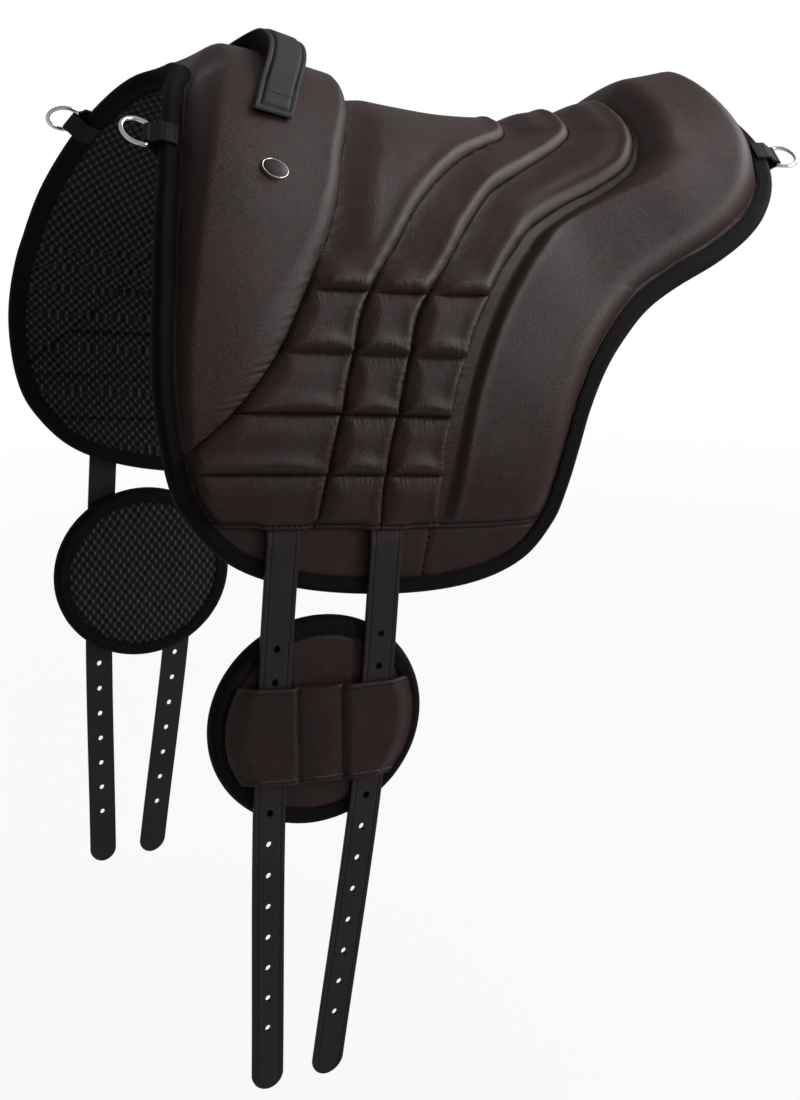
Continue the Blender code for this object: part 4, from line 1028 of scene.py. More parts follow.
def tape_material():
    material, flow = new_material("black_grosgrain_tape")
    along, across = cloth_place(flow)
    turn = 2.0 * math.pi / TAPE_RIB
    ribs = (along * turn).sine() * 0.5 + 0.5
    fuzz = noise(flow, object_place(flow), 1300.0)
    wear = noise(flow, object_place(flow), 30.0)
    # The crests of the ribs are painted lighter and the hollows between them darker, as painted light and
    # shade; the fuzz and wear are the tape's own tone.
    tone = ribs * 0.45 + fuzz * 0.35 + wear * 0.4 - 0.1
    colour = tone.mix(colour_of(TAPE_DARK), colour_of(TAPE_LIGHT))
    close_material(flow, colour, 0.7 + 0.15 * fuzz, ribs + fuzz * 0.6, 0.35, 0.0003,
                   Specular_IOR_Level=TAPE_SHEEN)
    return material


def path_lengths(points):
    """How far along a path each of its points is."""
    return np.concatenate([[0.0], np.cumsum(np.linalg.norm(np.diff(points, axis=0), axis=1))])


def cloth_grid(along, across):
    return np.stack(np.broadcast_arrays(along[:, None], across[None, :]), axis=-1)


def even_places(points, spacing, closed=False):
    """Where to cut a path of 3-D points so that the pieces are equally long: fractional indexes."""
    ring = np.vstack([points, points[:1]]) if closed else points
    lengths = path_lengths(ring)
    count = max(2, int(round(lengths[-1] / spacing)))
    wanted = np.linspace(0.0, lengths[-1], count, endpoint=not closed)
    return np.interp(wanted, lengths, np.arange(len(ring))), wanted


def swept_loop(name, stations, cloth, material, sharp=50.0):
    """A closed band: a table of points, stations by the points of the section."""
    count, wide = stations.shape[:2]
    i = np.arange(count)[:, None]
    j = np.arange(wide)[None, :]
    after = (i + 1) % count
    k = (j + 1) % wide
    corners = np.broadcast_arrays(i * wide + j, after * wide + j, after * wide + k, i * wide + k)
    faces = np.stack(corners, axis=-1).reshape(-1, 4).tolist()
    piece = mesh_piece(name, stations.reshape(-1, 3), faces, material, sharp)
    spread_cloth(piece, cloth.reshape(-1, 2))
    outward(piece.data)
    return piece


def outward(mesh):
    work = bmesh.new()
    work.from_mesh(mesh)
    bmesh.ops.recalc_face_normals(work, faces=work.faces)
    work.to_mesh(mesh)
    work.free()


def folded_section(leg, wall, top, bottom, tight_top, tight_bottom):
    """The folded tape's section as (inward, height): over the fold outside and back inside it."""
    middle = (top + bottom) / 2
    half = (top - bottom) / 2
    outer = [(leg, tight_top + wall)]
    outer += [(leg * share, tight_top + wall + (top - tight_top - wall) * (1.0 - share) ** 1.5)
              for share in (0.9, 0.7, 0.5)]
    fold = [math.radians(angle) for angle in range(90, -91, -15)]
    outer += [(half * FOLD_BULGE * (1.0 - math.cos(a)), middle + half * math.sin(a)) for a in fold]
    outer += [(leg * share, tight_bottom - wall + (bottom - tight_bottom + wall) * (1.0 - share) ** 1.5)
              for share in (0.5, 0.7, 0.9)]
    outer += [(leg, tight_bottom - wall)]
    inner = [(leg, tight_bottom), (leg * 0.6, tight_bottom), (leg * 0.25, tight_bottom),
             (leg * 0.25, tight_top), (leg * 0.6, tight_top), (leg, tight_top)]
    return outer + inner


def tape_section():
    high = EDGE_HEIGHT + BINDING_FIT
    return folded_section(BINDING_LEG, BINDING_THICKNESS, high + BINDING_THICKNESS + FOLD_ROUND,
                          -BINDING_FIT - BINDING_THICKNESS - FOLD_ROUND, high, -BINDING_FIT)


def edge_loop(spacing):
    """Even places round the whole outline, with the step inwards at each."""
    half = outline_chart()
    inward = square_in(half)
    mirror = np.array([1.0, -1.0])
    chart = np.vstack([half * mirror, half[-2:0:-1]])
    inward = np.vstack([inward * mirror, inward[-2:0:-1]])
    rim = back_point(chart[:, 0], chart[:, 1])
    at, run = even_places(rim, spacing, closed=True)
    closed_chart = np.vstack([chart, chart[:1]])
    closed_inward = np.vstack([inward, inward[:1]])
    grid = np.arange(len(closed_chart))
    places = np.column_stack([np.interp(at, grid, closed_chart[:, k]) for k in range(2)])
    steps = np.column_stack([np.interp(at, grid, closed_inward[:, k]) for k in range(2)])
    return places, steps, run


tape = tape_material()
places, steps, run = edge_loop(BINDING_STATION)
section = np.array(tape_section())
wave = unevenness(back_point(places[:, 0], places[:, 1]), 0.018)
depth = section[:, 0] * (1.0 + TAPE_WAVE * wave[:, None])
stations = pad_point(places[:, 0, None] + steps[:, 0, None] * depth,
                     places[:, 1, None] + steps[:, 1, None] * depth,
                     np.broadcast_to(section[:, 1], depth.shape) + wave[:, None] * TAPE_RIPPLE)
cloth = cloth_grid(run, path_lengths(section))
binding = swept_loop("edge_tape", stations, cloth, tape)
belongs(binding, "pad", "binding", "edge_binding")


# The sewing thread: bonded nylon, laid as a lockstitch. Each stitch is a short cord that dips into
# the leather at both ends, along every seam, row, hem, strap edge and tape edge.
THREAD_WIDTH = 0.00095
STITCH_PITCH = 0.0038
STITCH_LENGTH = 0.0030
STITCH_SIDES = 6
THREAD_RISE = 0.00018
FINE_THREAD = 0.0006
THREAD_DARK = (5, 4, 4)
THREAD_LIGHT = (15, 12, 12)
THREAD_SHEEN = 0.1
STITCH_SHAPE = ((-0.5, 0.30, -0.9), (-0.32, 0.85, -0.1), (0.0, 1.0, 0.25), (0.32, 0.85, -0.1),
                (0.5, 0.30, -0.9))


def thread_material():
    material, flow = new_material("bonded_thread")
    twist = noise(flow, object_place(flow), 3500.0)
    colour = twist.mix(colour_of(THREAD_DARK), colour_of(THREAD_LIGHT))
    close_material(flow, colour, 0.6 + 0.1 * twist, twist, 0.3, 0.0002,
                   Specular_IOR_Level=THREAD_SHEEN)
    return material


def stitch_line(path, normals, pitch=STITCH_PITCH, length=STITCH_LENGTH, width=THREAD_WIDTH):
    """The points and faces of a row of stitches along a path of points with outward normals."""
    at, run = even_places(path, pitch)
    grid = np.arange(len(path))
    spots = np.column_stack([np.interp(at, grid, path[:, k]) for k in range(3)])
    up = np.column_stack([np.interp(at, grid, normals[:, k]) for k in range(3)])
    ahead = np.gradient(spots, axis=0)
    ahead /= np.linalg.norm(ahead, axis=1)[:, None]
    side = np.cross(up, ahead)
    side /= np.linalg.norm(side, axis=1)[:, None]
    up = np.cross(ahead, side)
    angles = 2 * math.pi * np.arange(STITCH_SIDES) / STITCH_SIDES
    round_thread = side[:, None, :] * np.cos(angles)[None, :, None]
    round_thread = round_thread + up[:, None, :] * np.sin(angles)[None, :, None]
    radius = width / 2
    points = []
    for along, thick, lift in STITCH_SHAPE:
        centre = spots + ahead * (along * length) + up * (lift * radius)
        points.append(centre[:, None, :] + round_thread * (thick * radius))
    points = np.stack(points, axis=1)
    count = len(spots)
    per = len(STITCH_SHAPE) * STITCH_SIDES
    i = np.arange(len(STITCH_SHAPE) - 1)[:, None] * STITCH_SIDES
    j = np.arange(STITCH_SIDES)
    k = (j + 1) % STITCH_SIDES
    faces = np.stack([i + j, i + k, i + STITCH_SIDES + k, i + STITCH_SIDES + j], axis=-1).reshape(-1, 4)
    quads = (faces[None] + np.arange(count)[:, None, None] * per).reshape(-1, 4).tolist()
    first = j[::-1]
    last = j + per - STITCH_SIDES
    caps = [(cap + n * per).tolist() for cap in (first, last) for n in range(count)]
    return points.reshape(-1, 3), quads + caps


def stitch_piece(name, lines, **size):
    """One piece of many stitch lines, each a (path, normals) pair."""
    points = []
    faces = []
    start = 0
    for path, normals in lines:
        some, rings = stitch_line(path, normals, **size)
        points.append(some)
        faces += [[index + start for index in ring] for ring in rings]
        start += len(some)
    return mesh_piece(name, np.concatenate(points), faces, thread)


def sewn(name, body, lines, **size):
    belongs(stitch_piece(name, lines, **size), body, "binding")


def flat_line(path, normal):
    """A line of stitches on a flat place, where every point has the same outward normal."""
    return path, np.tile(normal, (len(path), 1))


def on_pad(x, level, height):
    return pad_point(x, level, height), back_frame(x, level)[0]


def on_cover(x, level, top):
    return on_pad(x, level, top(x, level) + THREAD_RISE)


thread = thread_material()
behind_tops = strip_tops + [cantle_top]
TOPSTITCH_SET = 0.0013
TOPSTITCH_END = hem_level - 0.02
POMMEL_TOPSTITCH_END = 6.6
lines = []
for seam, top in zip(seams, behind_tops):
    last = POMMEL_TOPSTITCH_END if seam is POMMEL_SEAM else TOPSTITCH_END
    levels = both_sides(np.linspace(0.0, last, 160))
    lines.append(on_cover(seam_at(seam, levels) + TOPSTITCH_SET, levels, top))
sewn("seam_stitches", "pad", lines)

ROW_STITCH_END = 0.0012
lines = []
for side in (NEAR, OFF):
    for row in range(FIRST_ROW_LEVEL, LAST_ROW_LEVEL):
        for k in range(3):
            start = (pommel_edge(row) if k == 0 else seam_at(seams[k], row)) + ROW_STITCH_END
            if k == 0:
                start = max(float(start), float(edge_x(row, BINDING_LEG + 0.001, False)))
            end = seam_at(seams[k + 1], row) - ROW_STITCH_END
            x = np.linspace(float(start), float(end), 40)
            levels = np.full(40, side * float(row))
            lines.append(on_cover(x, levels, strip_tops[k]))
sewn("row_stitches", "pad", lines)

HEM_STITCH_LEVEL = LAST_ROW_LEVEL - HEM_SEAM_LEVEL - HEM_STITCH_SET / QUILT_ROW
HEM_STITCH_END = 0.001
JOIN_STITCH_LEVELS = (8.06, 8.95)
JOIN_STITCH_SINK = 0.0008
hem_ends = [edge_x(HEM_STITCH_LEVEL, BINDING_LEG, False)]
hem_ends += [seam_at(seam, HEM_STITCH_LEVEL) for seam in seams[1:]]
hem_ends += [edge_x(HEM_STITCH_LEVEL, BINDING_LEG, True)]
lines = []
for side in (NEAR, OFF):
    for start, end, top in zip(hem_ends, hem_ends[1:], behind_tops):
        x = np.linspace(float(start) + HEM_STITCH_END, float(end) - HEM_STITCH_END, 60)
        lines.append(on_cover(x, np.full(60, side * HEM_STITCH_LEVEL), top))
    levels = np.linspace(*JOIN_STITCH_LEVELS, 30) * side
    x = seam_at(CANTLE_SEAM, levels) + TOPSTITCH_SET * 0.3
    lines.append(on_pad(x, levels, EDGE_HEIGHT - JOIN_STITCH_SINK))
sewn("hem_stitches", "pad", lines)

LINING_SEAM_START = 0.6
LINING_SEAMS = ((POMMEL_SEAM, 6.9, 120), (CANTLE_SEAM, 8.9, 150))
lines = []
for side in (NEAR, OFF):
    ways = []
    for seam, last, count in LINING_SEAMS:
        down = np.linspace(LINING_SEAM_START, last, count)
        ways.append((seam_at(seam, down), down))
    for row in range(FIRST_ROW_LEVEL, LAST_ROW_LEVEL + 1):
        start = max(float(pommel_edge(row)), float(edge_x(row, BINDING_LEG + 0.001, False)))
        x = np.linspace(start, float(seam_at(CANTLE_SEAM, row)), 60)
        ways.append((x, np.full(60, float(row))))
    for x, down in ways:
        points, normals = on_pad(x, side * down, LINING_CHANNEL - 0.0001)
        lines.append((points, -normals))
sewn("lining_stitches", "pad", lines)

TAPE_STITCH_SET = 0.0022
section_top = EDGE_HEIGHT + BINDING_FIT + BINDING_THICKNESS
inward = BINDING_LEG - TAPE_STITCH_SET
around = places + steps * inward
around = np.vstack([around, around[:1]])
upper_line = on_pad(around[:, 0], around[:, 1], section_top + THREAD_RISE)
section_bottom = -BINDING_FIT - BINDING_THICKNESS - 0.0001
lower_points, lower_normals = on_pad(around[:, 0], around[:, 1], section_bottom)
sewn("tape_stitches", "pad", [upper_line, (lower_points, -lower_normals)])


# The grab handle: a strap of charcoal leather with a soft core between two thin edges, stitched
# round the core and once across near each end, and sewn down to the pommel at both ends.
HANDLE_X = -0.172
HANDLE_LEAN = -0.029
HANDLE_BEND = 0.5
HANDLE_HALF_LEVEL = 1.72
HANDLE_SEWN_LEVEL = 1.12
HANDLE_WIDTH = 0.032
HANDLE_FINGER_GAP = 0.0125
HANDLE_SEAT_GAP = 0.0012
HANDLE_EDGE = 0.0045
HANDLE_EDGE_THICKNESS = 0.0026
HANDLE_CORE_ROLL = 0.0024
HANDLE_CORE_RISE = 0.0014
HANDLE_CROSS_SET = 0.024
HANDLE_END_EDGE = HANDLE_EDGE * 1.4
HANDLE_LINE_SINK = 0.0004
HANDLE_CROSS_LINES = ((HANDLE_END_EDGE, -0.0003), (HANDLE_CROSS_SET, 0.0006))
HANDLE_CROSS_DEPTH = 0.75
HANDLE_CROSS_WIDTH = 0.0016
HANDLE_DIP = 0.0009
HANDLE_ROUND = 0.0009
HANDLE_DARK = (34, 34, 35)
HANDLE_SHADE = (46, 46, 47)
HANDLE_PALE = (62, 62, 63)
HANDLE_PEBBLES = 1300.0
HANDLE_STATIONS = 200
HANDLE_SIDE_POINTS = 41


def handle_place(level):
    """The middle of the handle's underside at some levels, with the ways across and outwards."""
    x = HANDLE_X + HANDLE_LEAN * (np.hypot(level, HANDLE_BEND) - HANDLE_BEND)
    free = ease(1.0 - np.abs(level) / HANDLE_SEWN_LEVEL)
    half = HANDLE_WIDTH / 2
    seat = np.max([pommel_top(x + across, level) for across in (-half, 0.0, half)], axis=0)
    lift = HANDLE_SEAT_GAP * (0.25 + 0.75 * np.sqrt(free)) + HANDLE_FINGER_GAP * np.sqrt(free)
    normal = back_frame(x, level)[0]
    across = back_point(x + X_STEP, level) - back_point(x - X_STEP, level)
    across /= np.linalg.norm(across, axis=-1, keepdims=True)
    return back_point(x, level) + normal * (seat + lift)[:, None], across, normal


charcoal = leather("charcoal_strap_hide", HANDLE_DARK, HANDLE_SHADE, HANDLE_PALE,
                   roughness=0.52, grain=0.30, pebbles=HANDLE_PEBBLES)
levels = np.linspace(-HANDLE_HALF_LEVEL, HANDLE_HALF_LEVEL, HANDLE_STATIONS)
middles, acrosses, normals = handle_place(levels)
lengths = path_lengths(middles)
handle_end = np.minimum(lengths, lengths[-1] - lengths)
half = HANDLE_WIDTH / 2
aside = np.linspace(-half, half, HANDLE_SIDE_POINTS)
core_edge = np.minimum(half - HANDLE_EDGE - np.abs(aside)[None, :], handle_end[:, None] - HANDLE_END_EDGE)
core = roll(np.maximum(core_edge, 0.0), HANDLE_CORE_ROLL)
crossing = 1.0 - HANDLE_CROSS_DEPTH * bell(handle_end - HANDLE_CROSS_SET, HANDLE_CROSS_WIDTH)
dip = HANDLE_DIP * bell(core_edge, HANDLE_DIP)
upper = HANDLE_EDGE_THICKNESS + HANDLE_CORE_RISE * core * crossing[:, None] - dip
rounded = roll(half - np.abs(aside), HANDLE_ROUND)[None, :]
rounded = rounded * roll(handle_end + 0.00005, HANDLE_ROUND)[:, None]
lower = HANDLE_EDGE_THICKNESS * 0.45 * (1.0 - rounded)
upper = lower + (upper - lower) * rounded
spread = middles[:, None, :] + acrosses[:, None, :] * aside[None, :, None]
over = spread + normals[:, None, :] * upper[..., None]
under = spread + normals[:, None, :] * lower[..., None]
handle = grid_mesh("grab_handle_strap", over, under, charcoal, sharp=60.0)
outward(handle.data)
belongs(handle, "pad", "handle_leather", "grab_handle")

line_side = half - HANDLE_EDGE
lines = []
inside_ends = handle_end > HANDLE_END_EDGE
for aside_at in (-line_side, line_side):
    path = middles + acrosses * aside_at + normals * (HANDLE_EDGE_THICKNESS - HANDLE_LINE_SINK)
    lines.append((path[inside_ends], normals[inside_ends]))
for from_end in (lengths, lengths[-1] - lengths):
    for distance, lift in HANDLE_CROSS_LINES:
        k = int(np.argmin(np.abs(from_end - distance)))
        side_places = np.linspace(-line_side, line_side, 16)[:, None]
        path = middles[k] + acrosses[k] * side_places + normals[k] * (HANDLE_EDGE_THICKNESS + lift)
        lines.append(flat_line(path, normals[k]))
sewn("handle_stitches", "pad", lines, pitch=0.0033, length=0.0026, width=FINE_THREAD)


# The four D-rings for breastplate and saddlebag ties: nickel-plated steel wire, bent and welded,
# each held at the edge of the pad by a short fold of webbing sewn over the tape.
RING_WIRE = 0.0032
RING_INNER_WIDTH = 0.0220
RING_INNER_DEPTH = 0.0170
RING_FRONT_LEVEL = 1.95
RING_REAR_LEVEL = 1.60
TAB_WEBBING = 0.0015
TAB_WIDTH = 0.0195
TAB_LENGTH = 0.0085
TAB_LEG = 0.011
TAB_STITCH_END = 0.002
NICKEL_DARK = (214, 208, 200)
NICKEL_LIGHT = (232, 229, 224)
RING_PLAY = 0.0004
RING_CORNER = RING_WIRE * 1.1
RING_HEEL_SHARE = 0.97
RING_SIDES = 20
RING_BENDS = 33
CAD_BINDING_TOP = 0.0126
CAD_BINDING_BOTTOM = -0.0026


def steel_material():
    material, flow = new_material("nickel_plated_steel")
    place = object_place(flow)
    scratches = noise(flow, place, 420.0, 6.0)
    haze = noise(flow, place, 70.0)
    colour = haze.step(0.3, 0.75).mix(colour_of(NICKEL_DARK), colour_of(NICKEL_LIGHT))
    close_material(flow, colour, 0.10 + 0.16 * haze + 0.05 * scratches, scratches, 0.05, 0.0002,
                   Metallic=1.0)
    return material


def tube(name, path, sides, radius, material):
    """A closed ring of round wire along a loop of points."""
    ahead = np.roll(path, -1, axis=0) - np.roll(path, 1, axis=0)
    ahead /= np.linalg.norm(ahead, axis=1)[:, None]
    flat = np.cross(path[1] - path[0], path[len(path) // 2] - path[0])
    flat /= np.linalg.norm(flat)
    out = np.cross(ahead, flat)
    angles = 2 * math.pi * np.arange(sides) / sides
    stations = path[:, None, :] + radius * (out[:, None, :] * np.cos(angles)[None, :, None]
                                            + flat[None, None, :] * np.sin(angles)[None, :, None])
    return swept_loop(name, stations, np.zeros(stations.shape[:2] + (2,)), material)


def ring_frame(rear, level, side):
    """The edge of the pad at a ring: its middle, and the ways outwards, up from it and along it."""
    middle = (CAD_BINDING_TOP + CAD_BINDING_BOTTOM) / 2
    above, below = (pad_point(edge_x(down, 0.0, rear), side * down, middle)
                    for down in (level - LEVEL_STEP, level + LEVEL_STEP))
    place = edge_x(level, 0.0, rear)
    root = pad_point(place, side * level, middle)
    along = (below - above) / np.linalg.norm(below - above)
    out = np.cross(along, back_frame(place, side * level)[0])
    out /= np.linalg.norm(out)
    if (out[0] > 0) != rear:
        out = -out
    return root, out, np.cross(out, along), along


steel = steel_material()
for side, side_word in SIDES:
    for rear, word, level in ((False, "front", RING_FRONT_LEVEL), (True, "rear", RING_REAR_LEVEL)):
        name = side_word + "_" + word
        root, out, normal, along = ring_frame(rear, level, side)
        if np.dot(normal, back_frame(edge_x(level, 0.0, rear), side * level)[0]) < 0:
            normal = -normal
        bar = LAYER_GAP + TAB_LENGTH
        wide = (RING_INNER_WIDTH + RING_WIRE) / 2
        depth = RING_INNER_DEPTH + RING_WIRE
        bends = [(depth - wide + wide * math.cos(a), wide * math.sin(a))
                 for a in np.linspace(math.pi / 2, -math.pi / 2, RING_BENDS)]
        foot = wide * RING_HEEL_SHARE - RING_CORNER
        heel = [(RING_CORNER - RING_CORNER * math.sin(a), -foot - RING_CORNER * math.cos(a))
                for a in np.linspace(0.0, math.pi / 2, 7)]
        straight = [(0.0, v) for v in np.linspace(-foot, foot, 8)[1:-1]]
        toe = [(u, -v) for u, v in reversed(heel)]
        flat = np.array(bends + heel + straight + toe)
        path = root + out * (bar + flat[:, :1]) + along * flat[:, 1:]
        ring = tube("ring_" + name, path, RING_SIDES, RING_WIRE / 2, steel)
        belongs(ring, "d_ring_" + name, "steel", "d_ring_" + name)

        eye = RING_WIRE / 2 + RING_PLAY
        high = (CAD_BINDING_TOP - CAD_BINDING_BOTTOM) / 2 - 0.0004
        turn = [math.radians(angle) for angle in range(115, -116, -10)]
        leg = [(-TAB_LEG, high), (-TAB_LEG * 0.5, high), (0.001, high - 0.0002), (0.0035, high * 0.62)]
        fold = [(bar + eye * math.cos(a), eye * math.sin(a)) for a in turn]
        inner = np.array(leg + fold + [(u, -v) for u, v in reversed(leg)])
        ways = np.gradient(inner, axis=0)
        ways /= np.linalg.norm(ways, axis=1)[:, None]
        outer = inner + np.column_stack([-ways[:, 1], ways[:, 0]]) * TAB_WEBBING
        across = np.linspace(-TAB_WIDTH / 2, TAB_WIDTH / 2, 15)
        pinch = np.where(inner[:, 0] > 0.0, 1.0 - 0.06 * ease(inner[:, 0] / bar), 1.0)

        def tab_points(shape):
            spread = across[None, :] * pinch[:, None]
            return root + out * shape[:, None, :1] + normal * shape[:, None, 1:] + along * spread[..., None]

        cloth = cloth_grid(path_lengths(inner), across)
        tab = grid_mesh("ring_tab_webbing_" + name, tab_points(outer), tab_points(inner), webbing, cloth,
                        sharp=50.0)
        outward(tab.data)
        belongs(tab, "pad", "webbing", "ring_tab_" + name)

        lines = []
        v = np.linspace(-TAB_WIDTH / 2 + TAB_STITCH_END, TAB_WIDTH / 2 - TAB_STITCH_END, 12)[:, None]
        for u in (-TAB_LEG + TAB_STITCH_END, -0.0015):
            for face in (1, -1):
                path = root + out * u + normal * (face * (high + TAB_WEBBING)) + along * v
                lines.append(flat_line(path, normal * face))
        sewn("ring_tab_stitches_" + name, "pad", lines, pitch=0.003, length=0.0024, width=FINE_THREAD)


# The four girth straps, called billets: black bridle leather with punched holes, stitched along
# both edges, round at the tip and pared thin at the top, where they go up under the hem.
STRAP_THICKNESS = 0.0035
STRAP_CLEARANCE = 0.0004
STRAP_INNER_Y = BACK_HALF_WIDTH + CAD_BINDING_TOP + STRAP_CLEARANCE
STRAP_OUTER_Y = STRAP_INNER_Y + STRAP_THICKNESS
STRAP_TOP_LEVEL = LAST_ROW_LEVEL - HEM_SEAM_LEVEL + (STRAP_THICKNESS + STRAP_CLEARANCE) / QUILT_ROW
STRAP_BOTTOM_Z = -0.684
STRAP_TAIL = 0.052
STRAP_HOLE_PITCH = 0.0254
STRAP_HOLE_WIDTH = 0.0050
STRAP_HOLE_COUNT = 13
STRAP_HOLE_STRETCH = 1.12
STRAP_HOLE_SIDES = 28
STRAP_TONGUE = 0.008
STRAP_SKIVE = 0.016
STRAP_SKIVED = 0.0012
STRAP_EDGE_ROUND = 0.0007
STRAP_CREASE_SET = 0.0037
STRAP_CREASE = 0.0006
STRAP_CREASE_WIDTH = 0.00045
STRAP_DARK = (24, 20, 21)
STRAP_LIGHT = (36, 31, 32)
STRAP_SHEEN = 0.24
STRAP_STATION = 0.0018
STRAP_TIP_LEAST = 0.0004
STRAP_LEAST = 0.0003
STRAP_STITCH_START = 0.010
STRAP_STITCH_RISE = 0.0001
GUARD_Z = -0.3915


def strap_material():
    material, flow = new_material("black_bridle_leather")
    place = object_place(flow)
    grain = flow.node("ShaderNodeTexVoronoi", {"feature": "DISTANCE_TO_EDGE"},
                      {"Vector": place, "Scale": 1500.0})
    grain = grain.step(0.0, 0.3)
    pores = noise(flow, place, 900.0, 3.0)
    streaks = flow.node("ShaderNodeVectorMath", {"operation": "MULTIPLY"}, {0: place, 1: (1.0, 1.0, 0.12)})
    streaks = noise(flow, streaks, 160.0, 3.0)
    wear = noise(flow, place, 18.0, 3.0).step(0.35, 0.7)
    tone = (wear * 0.5 + streaks * 0.5).mix(colour_of(STRAP_DARK), colour_of(STRAP_LIGHT))
    close_material(flow, tone, 0.47 + 0.12 * pores - 0.05 * wear, grain * 0.5 + pores * 0.8 + streaks * 0.6,
                   0.3, 0.00025, Specular_IOR_Level=STRAP_SHEEN)
    return material


def strap_middle(xs, top_z):
    """A function that gives the strap's middle x at some heights z."""
    points = [(-top_z, xs[0]), (-GUARD_Z, xs[1]), (-STRAP_BOTTOM_Z, xs[2])]
    return lambda z: curve(points, -np.asarray(z))


def strap_surface(aside, half):
    """How far the strap's face lies under full thickness, for distances from its middle."""
    from_edge = half - np.abs(aside)
    crease = STRAP_CREASE * bell(from_edge - STRAP_CREASE_SET, STRAP_CREASE_WIDTH)
    return crease + STRAP_EDGE_ROUND * (1.0 - roll(from_edge, STRAP_EDGE_ROUND))


def pared(z, top_z):
    """How thick a strap is at some heights: it is pared thin where it goes up under the hem."""
    return STRAP_SKIVED + (STRAP_THICKNESS - STRAP_SKIVED) * ease((top_z + STRAP_TONGUE - z) / STRAP_SKIVE)


def bends_at_hem(piece):
    """Bakes a strap's placing into its mesh."""
    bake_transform(piece)


def make_strap(name, xs, side):
    top_z = float(back_point(xs[0], STRAP_TOP_LEVEL)[2])
    middle = strap_middle(xs, top_z)
    half = STRAP_WIDTH / 2
    shoulder = STRAP_BOTTOM_Z + half
    z = np.linspace(top_z + STRAP_TONGUE, shoulder, int((top_z - shoulder) / STRAP_STATION))
    tip_angles = np.linspace(0.0, math.pi / 2, 16)[1:]
    z = np.concatenate([z, shoulder - half * np.sin(tip_angles)])
    widths = np.full(len(z), half)
    widths[-len(tip_angles):] = np.maximum(half * np.cos(tip_angles), STRAP_TIP_LEAST)
    share = np.concatenate([[-1.0, -0.985, -0.965, -0.945, -0.90], np.linspace(-0.86, 0.86, 41),
                            [0.90, 0.945, 0.965, 0.985, 1.0]])
    aside = widths[:, None] * share[None, :]
    from_tip = np.minimum(1.0, (z - STRAP_BOTTOM_Z) / half)[:, None]
    lowered = strap_surface(aside, widths[:, None]) * np.clip(from_tip + 0.3, 0.0, 1.0)
    outer = STRAP_INNER_Y + pared(z, top_z)[:, None] - lowered
    rounded = roll(widths[:, None] - np.abs(aside), STRAP_EDGE_ROUND)
    inner = STRAP_INNER_Y + STRAP_EDGE_ROUND * (1.0 - rounded)
    x = middle(z)[:, None] + aside
    level_z = np.broadcast_to(z[:, None], x.shape)
    over = np.stack([x, side * outer, level_z], axis=-1)
    under = np.stack([x, side * np.minimum(inner, outer - STRAP_LEAST), level_z], axis=-1)
    strap = grid_mesh(name, over, under, strap_hide, sharp=50.0)
    outward(strap.data)

    hole_z = STRAP_BOTTOM_Z + STRAP_TAIL + STRAP_HOLE_PITCH * np.arange(STRAP_HOLE_COUNT)
    punch = bmesh.new()
    for hole in hole_z:
        turn = Matrix.Translation((float(middle(hole)), side * (STRAP_INNER_Y + STRAP_OUTER_Y) / 2, hole))
        turn = turn @ Matrix.Rotation(math.pi / 2, 4, "X")
        turn = turn @ Matrix.Diagonal((1.0, STRAP_HOLE_STRETCH, 1.0, 1.0))
        bmesh.ops.create_cone(punch, cap_ends=True, segments=STRAP_HOLE_SIDES,
                              radius1=STRAP_HOLE_WIDTH / 2, radius2=STRAP_HOLE_WIDTH / 2,
                              depth=STRAP_THICKNESS * 4, matrix=turn)
    cutter_mesh = bpy.data.meshes.new("punch")
    punch.to_mesh(cutter_mesh)
    punch.free()
    cutter = bpy.data.objects.new("punch", cutter_mesh)
    bpy.context.scene.collection.objects.link(cutter)
    cut = strap.modifiers.new("holes", "BOOLEAN")
    cut.object = cutter
    apply_modifiers(strap)
    bpy.data.objects.remove(cutter, do_unlink=True)
    strap.data.set_sharp_from_angle(angle=math.radians(50.0))
    bends_at_hem(strap)
    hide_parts(name.replace("_leather", ""))

    line_z = np.linspace(top_z - STRAP_STITCH_START, shoulder, 200)
    line_y = side * (STRAP_INNER_Y + pared(line_z, top_z) - STRAP_CREASE + STRAP_STITCH_RISE)
    outwards = [0.0, float(side), 0.0]
    reach = half - STRAP_CREASE_SET
    lines = []
    for edge in (-1, 1):
        path = np.column_stack([middle(line_z) + edge * reach, line_y, line_z])
        lines.append(flat_line(path, outwards))
    bend = np.linspace(0.0, math.pi, 30)
    path = np.column_stack([float(middle(shoulder)) - reach * np.cos(bend),
                            np.full(30, side * (STRAP_OUTER_Y - STRAP_CREASE + STRAP_STITCH_RISE)),
                            shoulder - reach * np.sin(bend)])
    lines.append(flat_line(path, outwards))
    stitches = stitch_piece(name.replace("leather", "stitches"), lines, pitch=0.0034, length=0.0026,
                            width=FINE_THREAD)
    bends_at_hem(stitches)


def apply_modifiers(piece):
    """Keeps the mesh as its modifiers make it."""
    depsgraph = bpy.context.evaluated_depsgraph_get()
    made = bpy.data.meshes.new_from_object(piece.evaluated_get(depsgraph), preserve_all_data_layers=True,
                                           depsgraph=depsgraph)
    piece.modifiers.clear()
    piece.data = made


strap_hide = strap_material()
for side, word in SIDES:
    make_strap("billet_%s_front_leather" % word, FRONT_STRAP_X, side)
    make_strap("billet_%s_rear_leather" % word, REAR_STRAP_X, side)


